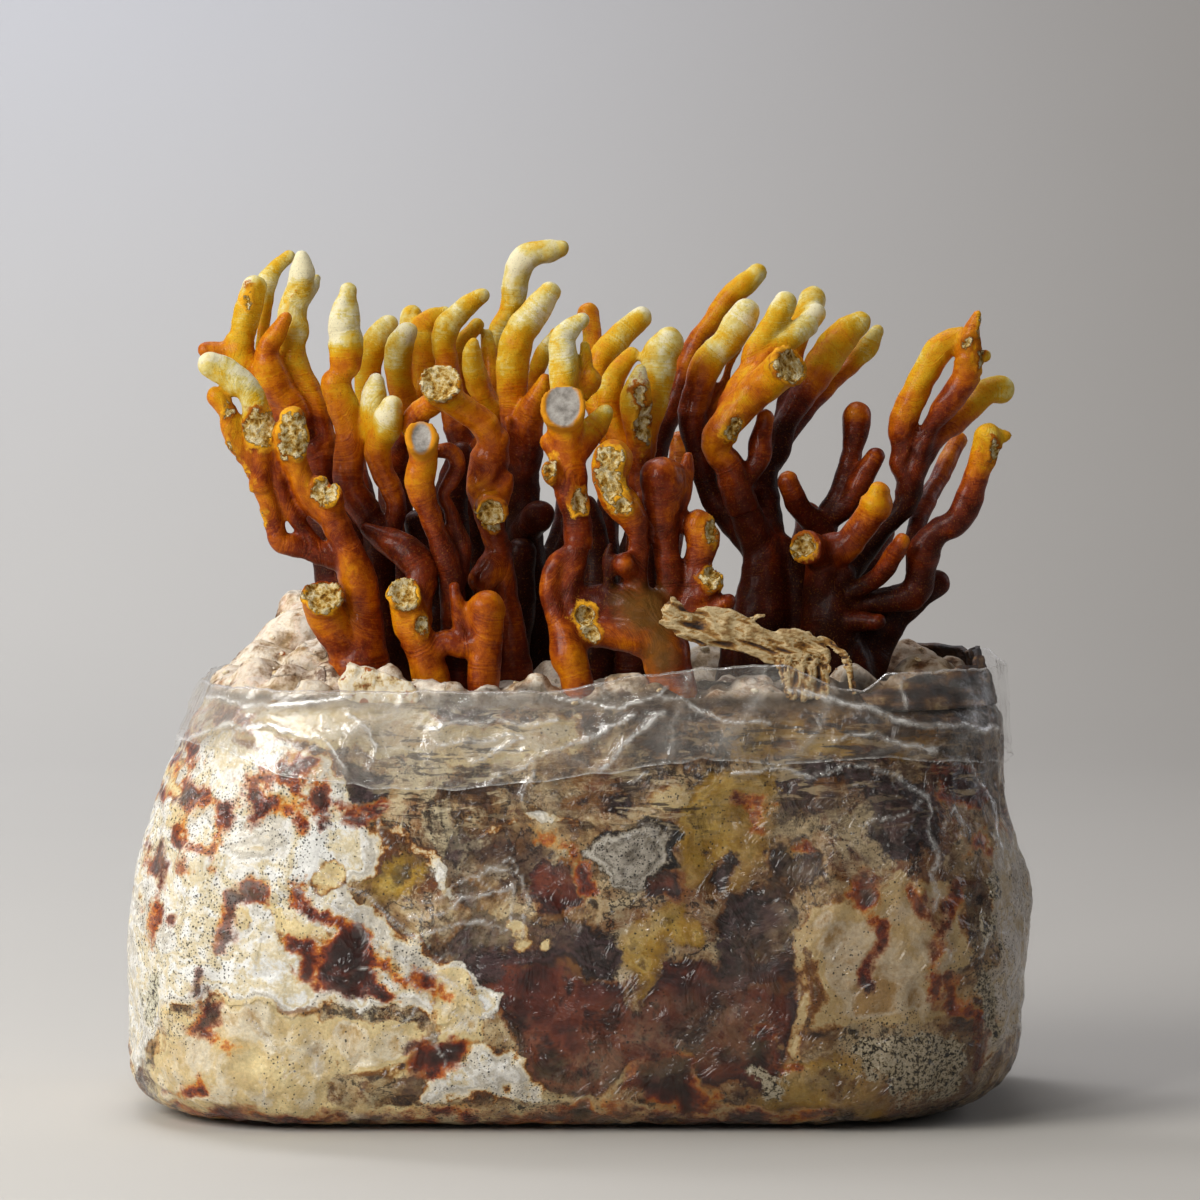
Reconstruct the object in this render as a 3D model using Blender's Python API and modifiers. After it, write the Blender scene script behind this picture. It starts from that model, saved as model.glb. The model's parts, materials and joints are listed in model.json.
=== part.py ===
"""Reishi mushroom grow bag: a mycelium block in a clear film bag, with antler-shaped reishi on its top.

Metres, +Z up, the origin on the ground under the middle of the bag, and the front towards -Y.
Lengths in the tables are millimetres. Points of the fingers are written as seen from the front,
as (across, height, radius), with a fourth number where a point comes nearer than its neighbours.
"""

import math

import bmesh
import bpy
import numpy as np
from mathutils import Matrix, Vector, noise

MM = 0.001

# The viewpoint that the finger tables are seen from
EYE_DISTANCE = 1400
EYE_HEIGHT = 190

# The bag: outer half sizes by height, as (height, size)
LEFT_SIDE = (
    (0, 99), (6, 103), (14, 105), (47, 103.5), (62, 101), (75, 96), (86, 91), (96, 87), (108, 83),
)
RIGHT_SIDE = (
    (0, 91), (3, 95.5), (8, 100), (16, 103), (40, 105), (56, 104), (70, 99.5), (80, 98), (96, 98.5),
    (108, 97.5),
)
DEPTH_SIDE = ((0, 57), (6, 61), (14, 63), (45, 65), (75, 63.5), (90, 62), (108, 60))
CORNER_RADIUS = 40
ARC_STEPS = 16
FOOT = ((0, 7), (1.6, 3), (6, 0.8), (14, 0))
FILM_ROWS = (29, 46, 63)
FILM_COLUMNS = 40
FILM_THICKNESS = 1.1
CUFF_GAP = 0.7

# The film's edges by place across the front and the back, as (across, height)
RIM_FRONT = (
    (-90, 100), (-4, 100), (10, 103), (29, 105), (47, 106), (57, 101), (64, 100), (70, 104),
    (100, 104),
)
RIM_BACK = ((-90, 100), (-40, 98), (10, 99), (60, 101), (100, 104))
CUFF_FRONT = (
    (-90, 88), (-73, 86), (-58, 80), (-30, 78), (-4, 80), (29, 85), (45, 83), (68, 85), (100, 82),
)
CUFF_BACK = ((-90, 86), (-30, 80), (30, 84), (100, 82))

# Dents in the film and the block under it
DENT_DEPTH = 1.5
DENT_LENGTH = 34
FOLDS = (
    # from (across, height), to (across, height), half width, depth
    ((-64, 52), (-18, 18), 7, 1.3),
    ((84, 88), (90, 30), 5, 1.4),
    ((96, 84), (97, 40), 4, 1.0),
    ((-30, 74), (70, 78), 4, 0.8),
)

# The block
BLOCK_GAP = 1.7
BLOCK_ROWS = (0, 2.5, 7, 14, 26, 38, 50, 62, 73, 84, 92)
BLOCK_SHOULDER = ((3, 96), (9, 98), (22, 98.5), (40, 98.5))
BLOCK_VOXEL = 2.2
BLOCK_TRIANGLES = 1500
LUMPS = (
    # (x, y, z, radius) of the mounds and nodules that stand out of the block's top
    (-72, -27, 96, 9), (-65, -39, 97, 7), (-73, 2, 98, 9.5), (-65, 16, 101, 13), (-64, 35, 109, 9),
    (-58, -6, 98, 11), (-55, -40, 98, 7), (-46, -47, 98, 5), (-42, -50, 100, 4.5), (-60, -51, 97, 4.5),
    (-34, -50, 98, 4.5), (-28, -54, 98, 3.5), (-20, -53, 99, 3), (-10, -50, 99.5, 4), (11, -46, 99, 4.5),
    (-44, 12, 97, 10), (-22, 8, 96, 10), (4, 14, 95, 11), (32, 10, 96, 10), (62, -4, 96, 9),
    (40, -44, 97, 5.5), (32, -52, 96, 4.5), (56, -50, 97, 5), (62, -40, 99, 6), (76, -34, 97, 6),
    (82, -6, 96, 9), (78, 24, 97, 9), (52, 30, 96, 10), (18, 38, 96, 10), (-14, 38, 97, 10),
    (-42, 40, 98, 10), (88, 8, 97, 6), (72, 44, 97, 7), (-30, -28, 97, 7), (-4, -24, 96, 8),
)
CRUST_FROM = (-57, -49, 97)
CRUST_TO = (-39, -51, 95)
CRUST_STEPS = 5
CRUST_RADIUS = 4

# How finely the antlers are made, and how much fatter, because thinning out takes the corners off
RADIUS_GAIN = 1.07
ANTLER_VOXEL = 0.75
TRIANGLES_PER_MM = 1.35
TRIANGLES_PER_FINGER = 8
SOCKET_GAP = 1.1
FORK_GAP = 1.0
STRIP_VOXEL = 0.6
STRIP_TRIANGLES = 140
STRIP_FLATNESS = 0.42

# Tip kinds: round, cut across, or ended flat where the next piece of the antler begins
ROUND = "round"
CUT = "cut"

# Each finger is (depth at its base, depth at its tip, kind of tip, points from base to tip)
ANTLERS = {
    "antler_left_hand": (
        (-38, -44, ROUND, (
            (-51, 94, 7.5), (-50.5, 104, 6.6), (-50, 109, 5.1), (-49.8, 115, 4), (-51, 121, 3.9),
            (-53, 127, 4), (-54.5, 132, 3), (-56.5, 136, 2.8), (-58.5, 140, 2.8), (-60, 143.5, 2.6),
        )),
        (-43, -46, CUT, (
            (-57, 137, 2.4), (-57, 140, 2.6), (-56.8, 142, 2.5, 2),
        )),
        (-41, -45, ROUND, (
            (-53, 127, 3), (-58, 127.5, 3), (-62, 129, 2.5), (-66, 130, 2.3), (-69, 131, 2),
            (-70, 134, 2), (-71, 138, 1.9), (-72.5, 142, 1.9), (-74, 146, 2), (-76, 150, 2.3),
            (-78, 153, 2.5), (-80, 157, 2.5), (-81, 161, 2.1), (-83.5, 164.5, 2.1),
        )),
        (-44, -46, ROUND, (
            (-73.5, 145, 2), (-73.5, 150, 2.6), (-73.8, 154, 3.1), (-74, 158, 3.2), (-74.5, 162, 2.8),
            (-76, 165.5, 2.8), (-78.5, 168, 3.1), (-81.5, 170.5, 3), (-85, 172, 2.6),
        )),
        (-41, -44, ROUND, (
            (-60, 128, 2.4), (-64, 134, 1.9), (-68, 141, 1.7), (-70.5, 149, 1.8), (-73, 152, 2),
        )),
        (-42, -46, ROUND, (
            (-57, 137, 2.4), (-61.5, 139, 2.2), (-63.5, 143, 2.5), (-64.5, 147, 2.6),
            (-66.5, 151, 3.1), (-66.5, 156, 3.7), (-66.2, 159.5, 2.5),
        )),
        (-39, -45, CUT, (
            (-50, 102, 4.5), (-54, 107, 4.5), (-57, 111, 4.2), (-59, 115, 3.9), (-59.3, 118.5, 4.3, 3),
        )),
    ),
    "antler_left_stub": (
        (-43, -46, CUT, (
            (-33, 94, 5), (-35, 103, 3.9), (-37.5, 109, 4), (-39, 113, 3.9), (-39.8, 117, 3.9),
            (-40, 119, 3.8, 3),
        )),
        (-43, -35, ROUND, (
            (-37.5, 108, 3.4), (-37, 118, 3.5), (-36, 123, 3.6), (-38, 127, 4), (-42, 130, 3.4),
            (-46, 132, 2.4), (-49, 133.6, 1.5),
        )),
        (-44, -45, ROUND, (
            (-35, 104, 3.4), (-31, 107, 2.9), (-26, 106.5, 2.9), (-22, 108, 3.6), (-21, 115, 4.2),
        )),
        (-45, -45, ROUND, (
            (-22, 94, 3.4), (-21, 108, 3.6),
        )),
        (-45, -44, ROUND, (
            (-26, 107, 2), (-27.5, 114, 1.7), (-28.4, 120, 1.7),
        )),
    ),
    "antler_left_upper": (
        (-14, -16, ROUND, (
            (-50, 94, 5.8), (-54, 112, 4.8), (-57, 126, 4.3), (-59.5, 140, 4), (-60, 150, 3.6),
        )),
        (-16, -14, ROUND, (
            (-59.5, 147, 3.4), (-59.5, 155, 2.9), (-60, 160, 2.8), (-62, 165, 2.8), (-64.5, 169, 3),
            (-66, 173, 3), (-66.3, 176.5, 2.6), (-66, 180, 3.2), (-66, 184, 3), (-64.5, 189, 2.7),
            (-63.8, 194, 2.4), (-64, 197, 1.3),
        )),
        (-16, -22, ROUND, (
            (-60, 150, 3.2), (-64, 157, 2.8), (-65.5, 161, 3), (-67.5, 164, 3), (-70, 167, 3.3),
            (-71.5, 171, 3.2), (-72, 175.5, 2.4), (-70, 179, 2.2), (-67.5, 183, 1.5),
        )),
        (-17, -14, ROUND, (
            (-62, 154, 2.6), (-68, 160, 2.6), (-73, 167, 2.6), (-76, 171, 3), (-78.5, 175, 3.5),
            (-77.5, 179, 2.7), (-76.5, 184, 2.8), (-75, 190, 2.8),
        )),
        (-15, -16, ROUND, (
            (-78, 175, 2.3), (-83, 175, 1.9), (-86.5, 175.5, 1.7),
        )),
        (-12, -4, ROUND, (
            (-65, 158, 2.2), (-70, 168, 1.8), (-73, 174, 1.6), (-73, 178, 1.5), (-72.5, 184, 1.6),
            (-72, 191, 2), (-70, 194.5, 1.9), (-67, 197, 1.7),
        )),
        (-13, -8, ROUND, (
            (-64.5, 186, 1.8), (-62, 189, 1.5), (-60.4, 192, 1.1),
        )),
    ),
    "antler_left_pale": (
        (-22, -26, ROUND, (
            (-43, 94, 5.2), (-45, 112, 4.2), (-46, 124, 3.8), (-46.5, 134, 3.5),
        )),
        (-26, -27, ROUND, (
            (-46.5, 133, 3.2), (-50, 139, 3.2), (-53, 144, 3.2), (-53, 150, 3.2), (-53, 157, 3.3),
            (-55, 164, 3.2), (-56, 167.5, 3.3), (-55, 169.5, 2.8), (-54, 172, 3.6),
            (-53.5, 177.5, 3.8), (-54, 180, 3.1), (-54, 182, 3.2), (-53.5, 187, 2.2),
            (-52.8, 189.5, 1.2),
        )),
        (-26, -32, ROUND, (
            (-46, 132, 2.6), (-42, 136, 2.2), (-42, 140, 2.2), (-43.5, 144, 2.4), (-45, 147, 2.7),
            (-46, 150, 2.8), (-46, 154, 2.7), (-44.5, 156.5, 3), (-43.5, 160, 3.2),
            (-42.8, 162.3, 2.3),
        )),
        (-29, -26, ROUND, (
            (-46, 153, 2.4), (-47.3, 158, 2.5), (-47.5, 161, 2.6), (-47, 165, 2.4), (-46.6, 168, 1.5),
        )),
    ),
    "antler_left_rear": (
        (22, 20, ROUND, (
            (-38, 94, 5.4), (-40, 115, 4.3), (-42, 135, 3.8), (-43.5, 150, 3.4),
        )),
        (20, 18, ROUND, (
            (-43.5, 149, 3), (-46.5, 157, 2.9), (-48, 164, 2.8), (-48.5, 172, 2.8), (-47.5, 176, 2.7),
            (-46, 179, 2.5), (-43.8, 181.3, 2.1),
        )),
        (19, 10, ROUND, (
            (-43.5, 149, 3), (-40.5, 156, 2.7), (-39.5, 161, 2.7), (-40.5, 164.5, 3),
            (-41.5, 168, 3.1), (-41.8, 173, 3.2), (-41, 177, 3.1), (-39.8, 179.3, 2.3),
        )),
        (22, 28, ROUND, (
            (-42.5, 150, 2.6), (-39.5, 165, 2.6), (-38.5, 175, 2.7), (-38.5, 183, 2.5),
        )),
        (22, 34, ROUND, (
            (-41, 123, 3.2), (-47, 132, 2.7), (-50, 141, 2.8), (-52, 149, 2.6), (-51.5, 156, 2.4),
        )),
        (20, 24, ROUND, (
            (-43, 146, 2.8), (-37, 160, 2.6), (-35.5, 170, 2.6), (-36, 176, 3), (-36.3, 180, 2.9),
            (-34, 182.5, 2.5), (-31, 183.8, 1.8),
        )),
    ),
    "antler_centre_left": (
        (-34, -44, CUT, (
            (-28, 94, 4.2), (-28.5, 110, 3.1), (-29, 121, 2.9), (-30, 126, 2.6), (-31.5, 130, 2.6),
            (-33, 134, 2.4), (-34.5, 138.5, 2.4), (-35.5, 141, 2.8), (-36.5, 145.5, 3.3),
            (-36, 150, 3.2), (-36, 153, 3.4, 1), (-36, 155.5, 3.7, 4),
        )),
        (-36, -38, ROUND, (
            (-29, 120, 2.6), (-27, 128, 2.3), (-28.3, 134, 2), (-29.5, 138.5, 1.8), (-31, 142, 1.8),
            (-29, 145, 2), (-27.5, 148.5, 2), (-29, 151.5, 1.8), (-32, 152, 1.5),
        )),
    ),
    "antler_palm": (
        (-24, -30, ROUND, (
            (-14, 94, 4.6), (-16, 110, 3.7), (-17.5, 122, 3.1), (-18.5, 130.5, 3), (-19.5, 134, 3.1),
            (-20.5, 140, 3.8), (-21, 144, 4), (-20, 150, 4.5), (-19, 154, 3.4),
        )),
        (-30, -35, CUT, (
            (-19.5, 152, 3.4), (-21.5, 158.5, 2.9), (-25, 161, 2.8), (-28.5, 163.5, 3.1),
            (-31, 166, 3.9, 1), (-31.5, 168, 4.4, 4),
        )),
        (-33, -30, ROUND, (
            (-31, 165, 2.8), (-35, 162, 2.5), (-38, 160, 2.3), (-38.5, 157, 1.9),
        )),
        (-30, -33, CUT, (
            (-20, 140, 3), (-19.7, 137.5, 3.6, 3),
        )),
        (-31, -31, ROUND, (
            (-18.5, 139, 1.9), (-17, 143.5, 2), (-16, 145.8, 1.5),
        )),
        (-27, -29, ROUND, (
            (-18, 129, 3), (-19.5, 125, 3.3), (-21.8, 122, 3.4),
        )),
    ),
    "antler_centre_back": (
        (12, 14, ROUND, (
            (-22, 94, 4.8), (-23, 120, 3.8), (-25, 140, 3.4), (-26.5, 154, 3.1),
        )),
        (14, 12, ROUND, (
            (-26.5, 153, 2.9), (-29.5, 165, 2.6), (-30.5, 173, 2.5), (-31, 177, 2.7), (-30, 180.5, 3),
            (-28, 183, 2.6), (-25, 186, 2.2), (-22.3, 188, 1.8),
        )),
        (15, 20, ROUND, (
            (-26.5, 155, 2.4), (-26.5, 166, 2), (-27, 176, 1.8), (-25, 179, 1.8), (-23.3, 181.2, 1.6),
        )),
        (13, 2, ROUND, (
            (-25.5, 146, 2.7), (-21, 154, 2.6), (-19.5, 160, 2.6), (-21.5, 164, 2.8), (-23, 168, 3),
            (-24, 172, 2.6), (-24.3, 175, 2), (-24, 177.3, 1.1),
        )),
        (13, 24, ROUND, (
            (-23.3, 118, 3.2), (-19, 128, 2.7), (-17, 137, 2.8), (-18, 146, 2.5),
        )),
        (14, 22, ROUND, (
            (-26, 150, 2.4), (-21.5, 160, 2.1), (-20, 171, 1.9), (-20.5, 175, 2), (-21, 178.8, 1.4),
        )),
    ),
    "antler_back_tall": (
        (32, 34, ROUND, (
            (-10, 94, 5.2), (-11, 115, 4.3), (-13, 135, 3.8), (-16, 152, 3.2), (-19, 165, 2.7),
            (-20, 172, 2.5), (-19, 176, 2.3), (-18, 180, 2.2), (-16, 184, 2.4), (-15, 188, 2.6),
            (-14.3, 192, 2.8), (-13, 195.5, 3), (-10, 197.8, 2.8), (-6, 198.7, 2.5), (-4, 199, 1.9),
        )),
        (33, 45, ROUND, (
            (-11.3, 117, 3.4), (-5, 129, 2.8), (-2, 139, 2.7), (-3, 149, 2.9), (-1, 157, 2.4),
        )),
        (33, 47, ROUND, (
            (-12.5, 132, 3.2), (-20, 142, 2.7), (-24, 151, 2.8), (-24, 160, 2.3),
        )),
        (32, 28, ROUND, (
            (-14, 140, 2.8), (-12, 155, 2.4), (-10, 168, 2), (-8, 174.5, 2), (-5.2, 179.3, 1.4),
        )),
    ),
    "antler_centre_tall": (
        (-2, -6, ROUND, (
            (-8, 94, 5.2), (-10.5, 115, 4.4), (-12, 130, 4), (-12.5, 142, 3.8), (-13, 150, 3.5),
        )),
        (-6, -8, ROUND, (
            (-13, 149, 3.3), (-14.5, 159, 3.2), (-14.5, 164, 3.1), (-15, 168.5, 3.5), (-15, 172, 3.8),
            (-14, 177, 3.8), (-12, 181.5, 3.4), (-8.5, 186, 3), (-6.2, 188.8, 2.5),
        )),
        (-7, -14, ROUND, (
            (-12.5, 147, 3), (-11.3, 153, 3.3), (-11.5, 157, 3.4), (-10.5, 161.5, 3), (-8.3, 166, 2.2),
            (-7.4, 168.7, 1.5),
        )),
        (-8, -12, ROUND, (
            (-13.5, 150, 2), (-15, 154, 1.8), (-15.8, 159, 1.2),
        )),
        (-7, -14, ROUND, (
            (-12.5, 133, 3), (-9, 137, 3.8),
        )),
    ),
    "antler_front_arch": (
        (-48, -45, ROUND, (
            (1, 92, 4.2), (0, 99, 3.8), (-1.5, 104, 4.2), (-2.2, 108.5, 3.8), (-3.8, 112, 3),
            (-5.3, 116, 2.7), (-5.7, 120, 2.7), (-5, 125, 2.6), (-2, 127.6, 2.4),
        )),
        (-46, -44, CUT, (
            (-1, 106, 3.4), (-1.5, 113, 3), (-1.2, 119, 3), (-0.6, 125, 3.1), (0.3, 131, 3),
        )),
        (-45, -45, ROUND, (
            (22.5, 92, 5.4), (22, 101, 5.3), (20, 107, 5.6), (14, 110, 5.2), (8, 110, 4.6),
            (1, 110, 3.8),
        )),
        (-44, -44, ROUND, (
            (21, 110, 5.4), (14, 115, 5.6), (7, 116, 5), (0, 117, 3.4),
        )),
        (-44, -48, ROUND, (
            (13.5, 114, 3.6), (14, 122, 2.7), (14.5, 126, 2.4), (14.5, 131, 2.6), (13.3, 135.5, 3.2),
            (11.5, 138.5, 3.8), (9, 142, 3.8), (7.9, 146.5, 4.2), (8.8, 150.2, 4.4),
        )),
        (-42, -42, ROUND, (
            (20, 112, 4.2), (22, 120, 3.3), (21, 128, 2.9), (20.5, 133, 3.4), (20, 138, 3.7),
            (20, 145, 5.2),
        )),
        (-41, -40, ROUND, (
            (22, 134, 1.9), (25, 141, 1.7), (26, 147, 1.6), (26, 150.5, 1.1),
        )),
        (-42, -41, ROUND, (
            (23, 112, 4), (27.5, 119, 3.4), (28.5, 126, 3.1), (29.3, 131, 3.5), (28.3, 134.5, 3.4),
        )),
        (-42, -45, CUT, (
            (26, 116, 2.8), (31, 120, 2.6), (31.8, 123.5, 2.5),
        )),
        (-43, -44, ROUND, (
            (27, 114, 2.4), (32, 115, 2.2), (35.3, 116.5, 2.1),
        )),
        (-46, -47, ROUND, (
            (8, 115, 2.2), (7.5, 122, 1.6), (7.5, 127, 1.3), (8, 130, 0.9),
        )),
        (-45, -48, ROUND, (
            (13.5, 123, 2.2), (11.4, 125.5, 3),
        )),
    ),
    "antler_front_crown": (
        (-44, -43, ROUND, (
            (0.4, 131, 3), (0, 137, 3.4), (-1, 142, 3.9), (-1.5, 147, 4.2), (-2, 152, 4),
        )),
        (-44, -47, ROUND, (
            (-3, 144.5, 2.6), (-6, 147, 2.4),
        )),
        (-44, -43, ROUND, (
            (-3, 150, 2.6), (-6.5, 154, 2.1),
        )),
        (-43, -39, ROUND, (
            (-0.5, 151, 3.4), (2.5, 155, 3.2), (4.5, 157.5, 3), (6.5, 160.5, 2.3),
        )),
        (-43, -45, CUT, (
            (-2, 151, 4), (-2.4, 156, 4.1), (-2.8, 160, 4.4, 1), (-3, 162.5, 4.9, 5),
        )),
        (-41, -35, ROUND, (
            (-2.2, 154, 3.4), (-2.6, 164, 3.2), (-2.8, 170, 3.4), (-3, 174, 3.3), (-3, 178, 2.8),
            (-1, 180.5, 2.4), (1.2, 182, 1.9),
        )),
        (-37, -35, ROUND, (
            (-2, 165, 2.6), (2.5, 168, 3.2),
        )),
        (-36, -34, ROUND, (
            (1.4, 166, 2), (2.3, 172, 1.5), (2, 176.5, 1.1),
        )),
    ),
    "antler_centre_crown": (
        (-12, -18, ROUND, (
            (13, 94, 5.2), (14, 110, 4.5), (15, 125, 4), (15.5, 140, 3.6), (15.3, 150, 3.2),
        )),
        (-12, 3, ROUND, (
            (14, 110, 3.6), (19, 122, 2.9), (22, 132, 2.8), (22, 141, 2.5),
        )),
        (-18, -16, ROUND, (
            (15.3, 149, 3), (16, 156, 3), (17.5, 162, 2.9), (18.5, 166, 3.1), (19, 170, 3.8),
            (19.5, 174.5, 4), (21.4, 176.8, 3.4),
        )),
        (-20, -26, ROUND, (
            (15, 150, 2.5), (14.5, 155, 2.9), (14, 159, 3.3), (14, 164, 3.2), (14.4, 168, 2.5),
            (14.8, 171, 1.2),
        )),
        (-17, -14, ROUND, (
            (14, 146, 2.6), (10, 154, 2.4), (7.5, 162, 2.3), (7.8, 165, 2.4), (8.5, 168.5, 2.5),
            (10.5, 171.5, 2.4), (12.8, 174.1, 1.8),
        )),
        (-15, -4, ROUND, (
            (14, 143, 2.8), (8, 155, 2.7), (4.5, 166, 2.8), (4.5, 171, 2.8), (6, 174, 3),
            (9, 177.5, 2.9), (12, 180.5, 2.7), (15, 182.8, 2.2),
        )),
        (-8, 4, ROUND, (
            (5.5, 162, 2.2), (3.2, 172, 2.1), (3.5, 179, 2.1), (2.6, 183.8, 2.8),
        )),
    ),
    "antler_right_trunk": (
        (-8, -9, ROUND, (
            (43.5, 92, 7.4), (43.5, 104, 6.8), (43.5, 112, 6.5), (44, 120, 5.8), (43.5, 128, 4.8),
            (42, 133, 3.8),
        )),
        (-5, 10, ROUND, (
            (45.5, 112, 4), (50, 121, 3.2), (53, 129, 3), (54, 137, 2.8),
        )),
        (-9, -13, CUT, (
            (43, 129, 4), (40, 136, 3.9), (38.3, 139.8, 3.7),
        )),
        (-7, -5, CUT, (
            (42, 129, 3.8), (36.5, 135, 3.3), (33.4, 138.6, 3),
        )),
        (-8, -4, CUT, (
            (44.5, 127, 4), (44.6, 136, 3.4), (44.4, 142, 3.1),
        )),
    ),
    "antler_right_cut_branch": (
        (-13, -21, CUT, (
            (38.3, 139.8, 3.7), (37, 143.5, 3.6), (36.5, 146, 3.7), (35, 149, 3.2), (32.7, 152, 3.3),
            (33, 155.5, 3.7), (36, 159.5, 3.6), (39.5, 163, 3.6), (43, 166.5, 3.8), (47, 170, 3.9, 1),
            (50, 172, 4.5, 3),
        )),
        (-16, -8, ROUND, (
            (33.5, 156, 2.8), (36, 163, 2.6), (38.5, 168, 2.5), (40.5, 171, 2.6), (41.5, 174, 2.9),
            (44, 178.5, 2.9), (46.5, 183, 2.8), (48.5, 186.2, 2.4),
        )),
        (-18, -8, ROUND, (
            (39, 163, 2.6), (42.5, 170, 2.4), (45.5, 174.5, 2.3), (48, 176.5, 2.4), (51, 179, 2.6),
            (53.4, 181, 2.5),
        )),
        (-14, -12, ROUND, (
            (37.5, 145, 2.6), (41, 147, 2.4), (42.5, 150, 2.4), (43, 155, 2.6), (44, 159.3, 2.3),
        )),
    ),
    "antler_right_pale_branch": (
        (-5, -6, ROUND, (
            (33.4, 138.6, 3), (31, 142, 2.9), (29.7, 147, 2.9), (28, 153, 2.9), (26.8, 158, 3.2),
            (27, 162, 3), (28.5, 167, 3.3), (30, 171, 3.6), (32.5, 174.5, 3), (35, 177, 3.3),
            (37.5, 181, 3.6), (39.4, 183.8, 3.1),
        )),
        (-4, -1, ROUND, (
            (27.5, 158, 2), (31.5, 161.5, 1.8), (33, 165, 1.5), (34.8, 169, 1.2), (36, 173, 1.1),
            (37.8, 175.8, 0.9),
        )),
    ),
    "antler_right_outer_branch": (
        (-4, 8, ROUND, (
            (44.4, 142, 3.1), (44.5, 148, 2.9), (47, 152, 2.8), (48, 156, 2.8), (50, 161, 2.7),
            (52.5, 165, 3), (55, 168.5, 3.3), (57.5, 172.5, 3.6), (60, 176, 3.5), (63, 179.5, 3.2),
            (65.8, 181.8, 2.6),
        )),
        (1, 16, ROUND, (
            (46, 150, 2.4), (49, 156, 2.2), (53, 161, 1.9), (57, 165.5, 2), (61.5, 169.5, 2),
            (65, 173, 2), (68, 176.5, 1.9), (69.8, 179.8, 1.5),
        )),
        (3, 12, ROUND, (
            (48, 157, 2.4), (49.5, 170, 2.2), (52, 180, 2.4), (55, 187.2, 2.8),
        )),
        (8, 8, ROUND, (
            (51.5, 179, 2), (55.5, 184, 1.9),
        )),
    ),
    "antler_rear_slender": (
        (32, 30, ROUND, (
            (12, 94, 5), (13, 118, 4.1), (15, 136, 3.4), (18, 152, 3), (20, 157, 2.8), (23, 163, 2.7),
            (25, 170, 2.6), (28, 178, 2.5), (31, 181.5, 2.4), (33, 184.5, 2.4), (36, 188, 2.4),
            (39.5, 191, 2.3), (42, 193.4, 1.9),
        )),
        (32, 43, ROUND, (
            (13, 112, 3.5), (8, 124, 2.8), (6.5, 135, 2.7), (8.5, 146, 2.8), (7.5, 154, 2.4),
        )),
        (31, 44, ROUND, (
            (14, 127, 3.2), (20, 137, 2.7), (24, 146, 2.8), (24, 154, 2.4),
        )),
    ),
    "antler_far_trunk": (
        (-12, -14, ROUND, (
            (59, 92, 7.4), (59, 104, 6.9), (59, 113, 6.6), (60, 119, 5), (61.5, 122.5, 3.6),
        )),
        (-9, 8, ROUND, (
            (60, 111, 4), (64.5, 119, 3.1), (69, 126, 2.8), (71, 133, 2.6),
        )),
        (-13, -12, ROUND, (
            (66, 94, 5), (63, 104, 5), (60, 111, 5),
        )),
        (-14, -21, ROUND, (
            (57, 116, 4.6), (57, 124, 4), (58, 128.5, 3.7), (62, 129.5, 3.9), (65, 132.5, 2.9),
            (68, 136, 3.2), (70, 140, 3.7), (70.5, 142.3, 2.5),
        )),
        (-17, -20, CUT, (
            (58.5, 128, 3.6), (55.5, 129, 3.8, 1), (53.5, 129.5, 3.9, 4),
        )),
        (-15, -24, ROUND, (
            (62, 118, 2.6), (69, 121.5, 2.2), (71.5, 123.5, 2.1), (74, 127.5, 2.2), (75.8, 130.6, 1.9),
        )),
        (-17, -21, ROUND, (
            (62, 112, 2.4), (66, 112, 2.2), (70.3, 112, 1.6),
        )),
        (-14, -14, CUT, (
            (60, 115, 3.9), (64, 116.5, 3.4), (67.4, 116.8, 3.1),
        )),
        (-11, -7, CUT, (
            (60, 118, 4), (64.5, 125.5, 3.3), (67.4, 129.2, 3),
        )),
        (-10, -5, CUT, (
            (58.5, 119, 3.8), (57.2, 126, 3.1), (57.3, 131, 2.8),
        )),
    ),
    "antler_far_low_branch": (
        (-14, -22, ROUND, (
            (67.4, 116.8, 3.1), (74, 117.5, 3), (78.5, 119, 3.4), (80.3, 124, 3.3), (81.3, 129, 3.4),
            (84, 133, 3.2), (88.5, 135.5, 3), (91, 139.5, 3), (92.5, 143.5, 2.8), (94, 148, 2.7),
            (95, 151, 3), (96, 154.8, 3),
        )),
        (-21, -22, ROUND, (
            (95.5, 153, 2.1), (98.5, 155, 1.6), (100.3, 155.4, 1.2),
        )),
        (-14, 10, ROUND, (
            (79.5, 123, 2.6), (78.8, 130, 2.3), (79.6, 136, 2.2), (81.5, 141, 2.2), (84, 145, 2.2),
            (86, 149, 2.1), (88.8, 154.2, 1.9),
        )),
    ),
    "antler_far_upper_branch": (
        (-7, -12, ROUND, (
            (67.4, 129.2, 3), (71, 133, 2.7), (74, 136.5, 2.6), (77, 140.5, 3), (77.5, 144.5, 3.2),
            (75.8, 148, 2.5), (75.8, 153.5, 2.7), (75.8, 156.5, 3.3), (77, 161, 3), (79.5, 166, 2.7),
            (82, 171, 2.9), (84.5, 175.5, 3.2), (88, 178, 2.5), (89.6, 179.2, 1.6),
        )),
        (-8, -16, ROUND, (
            (77, 143, 2.6), (79, 148, 2.4), (80.5, 153, 2.4), (82.5, 157, 2.2), (85, 161, 2.6),
            (88, 165, 3), (90.5, 169, 3), (91, 174, 2.7), (92, 180, 1.9), (93.2, 183.6, 1),
        )),
        (-14, -13, ROUND, (
            (90.5, 171, 2), (93, 173.5, 1.6), (95.2, 174, 1.1),
        )),
        (-9, -2, ROUND, (
            (79.3, 148, 2.2), (82.5, 153.5, 2.3), (85, 156.5, 2.6), (88, 158.5, 2.9), (91, 161, 2.5),
            (93.5, 163.5, 2.5), (96.5, 166, 2.7), (98.6, 166.4, 3.1),
        )),
    ),
    "antler_far_club_branch": (
        (-5, 0, ROUND, (
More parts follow.
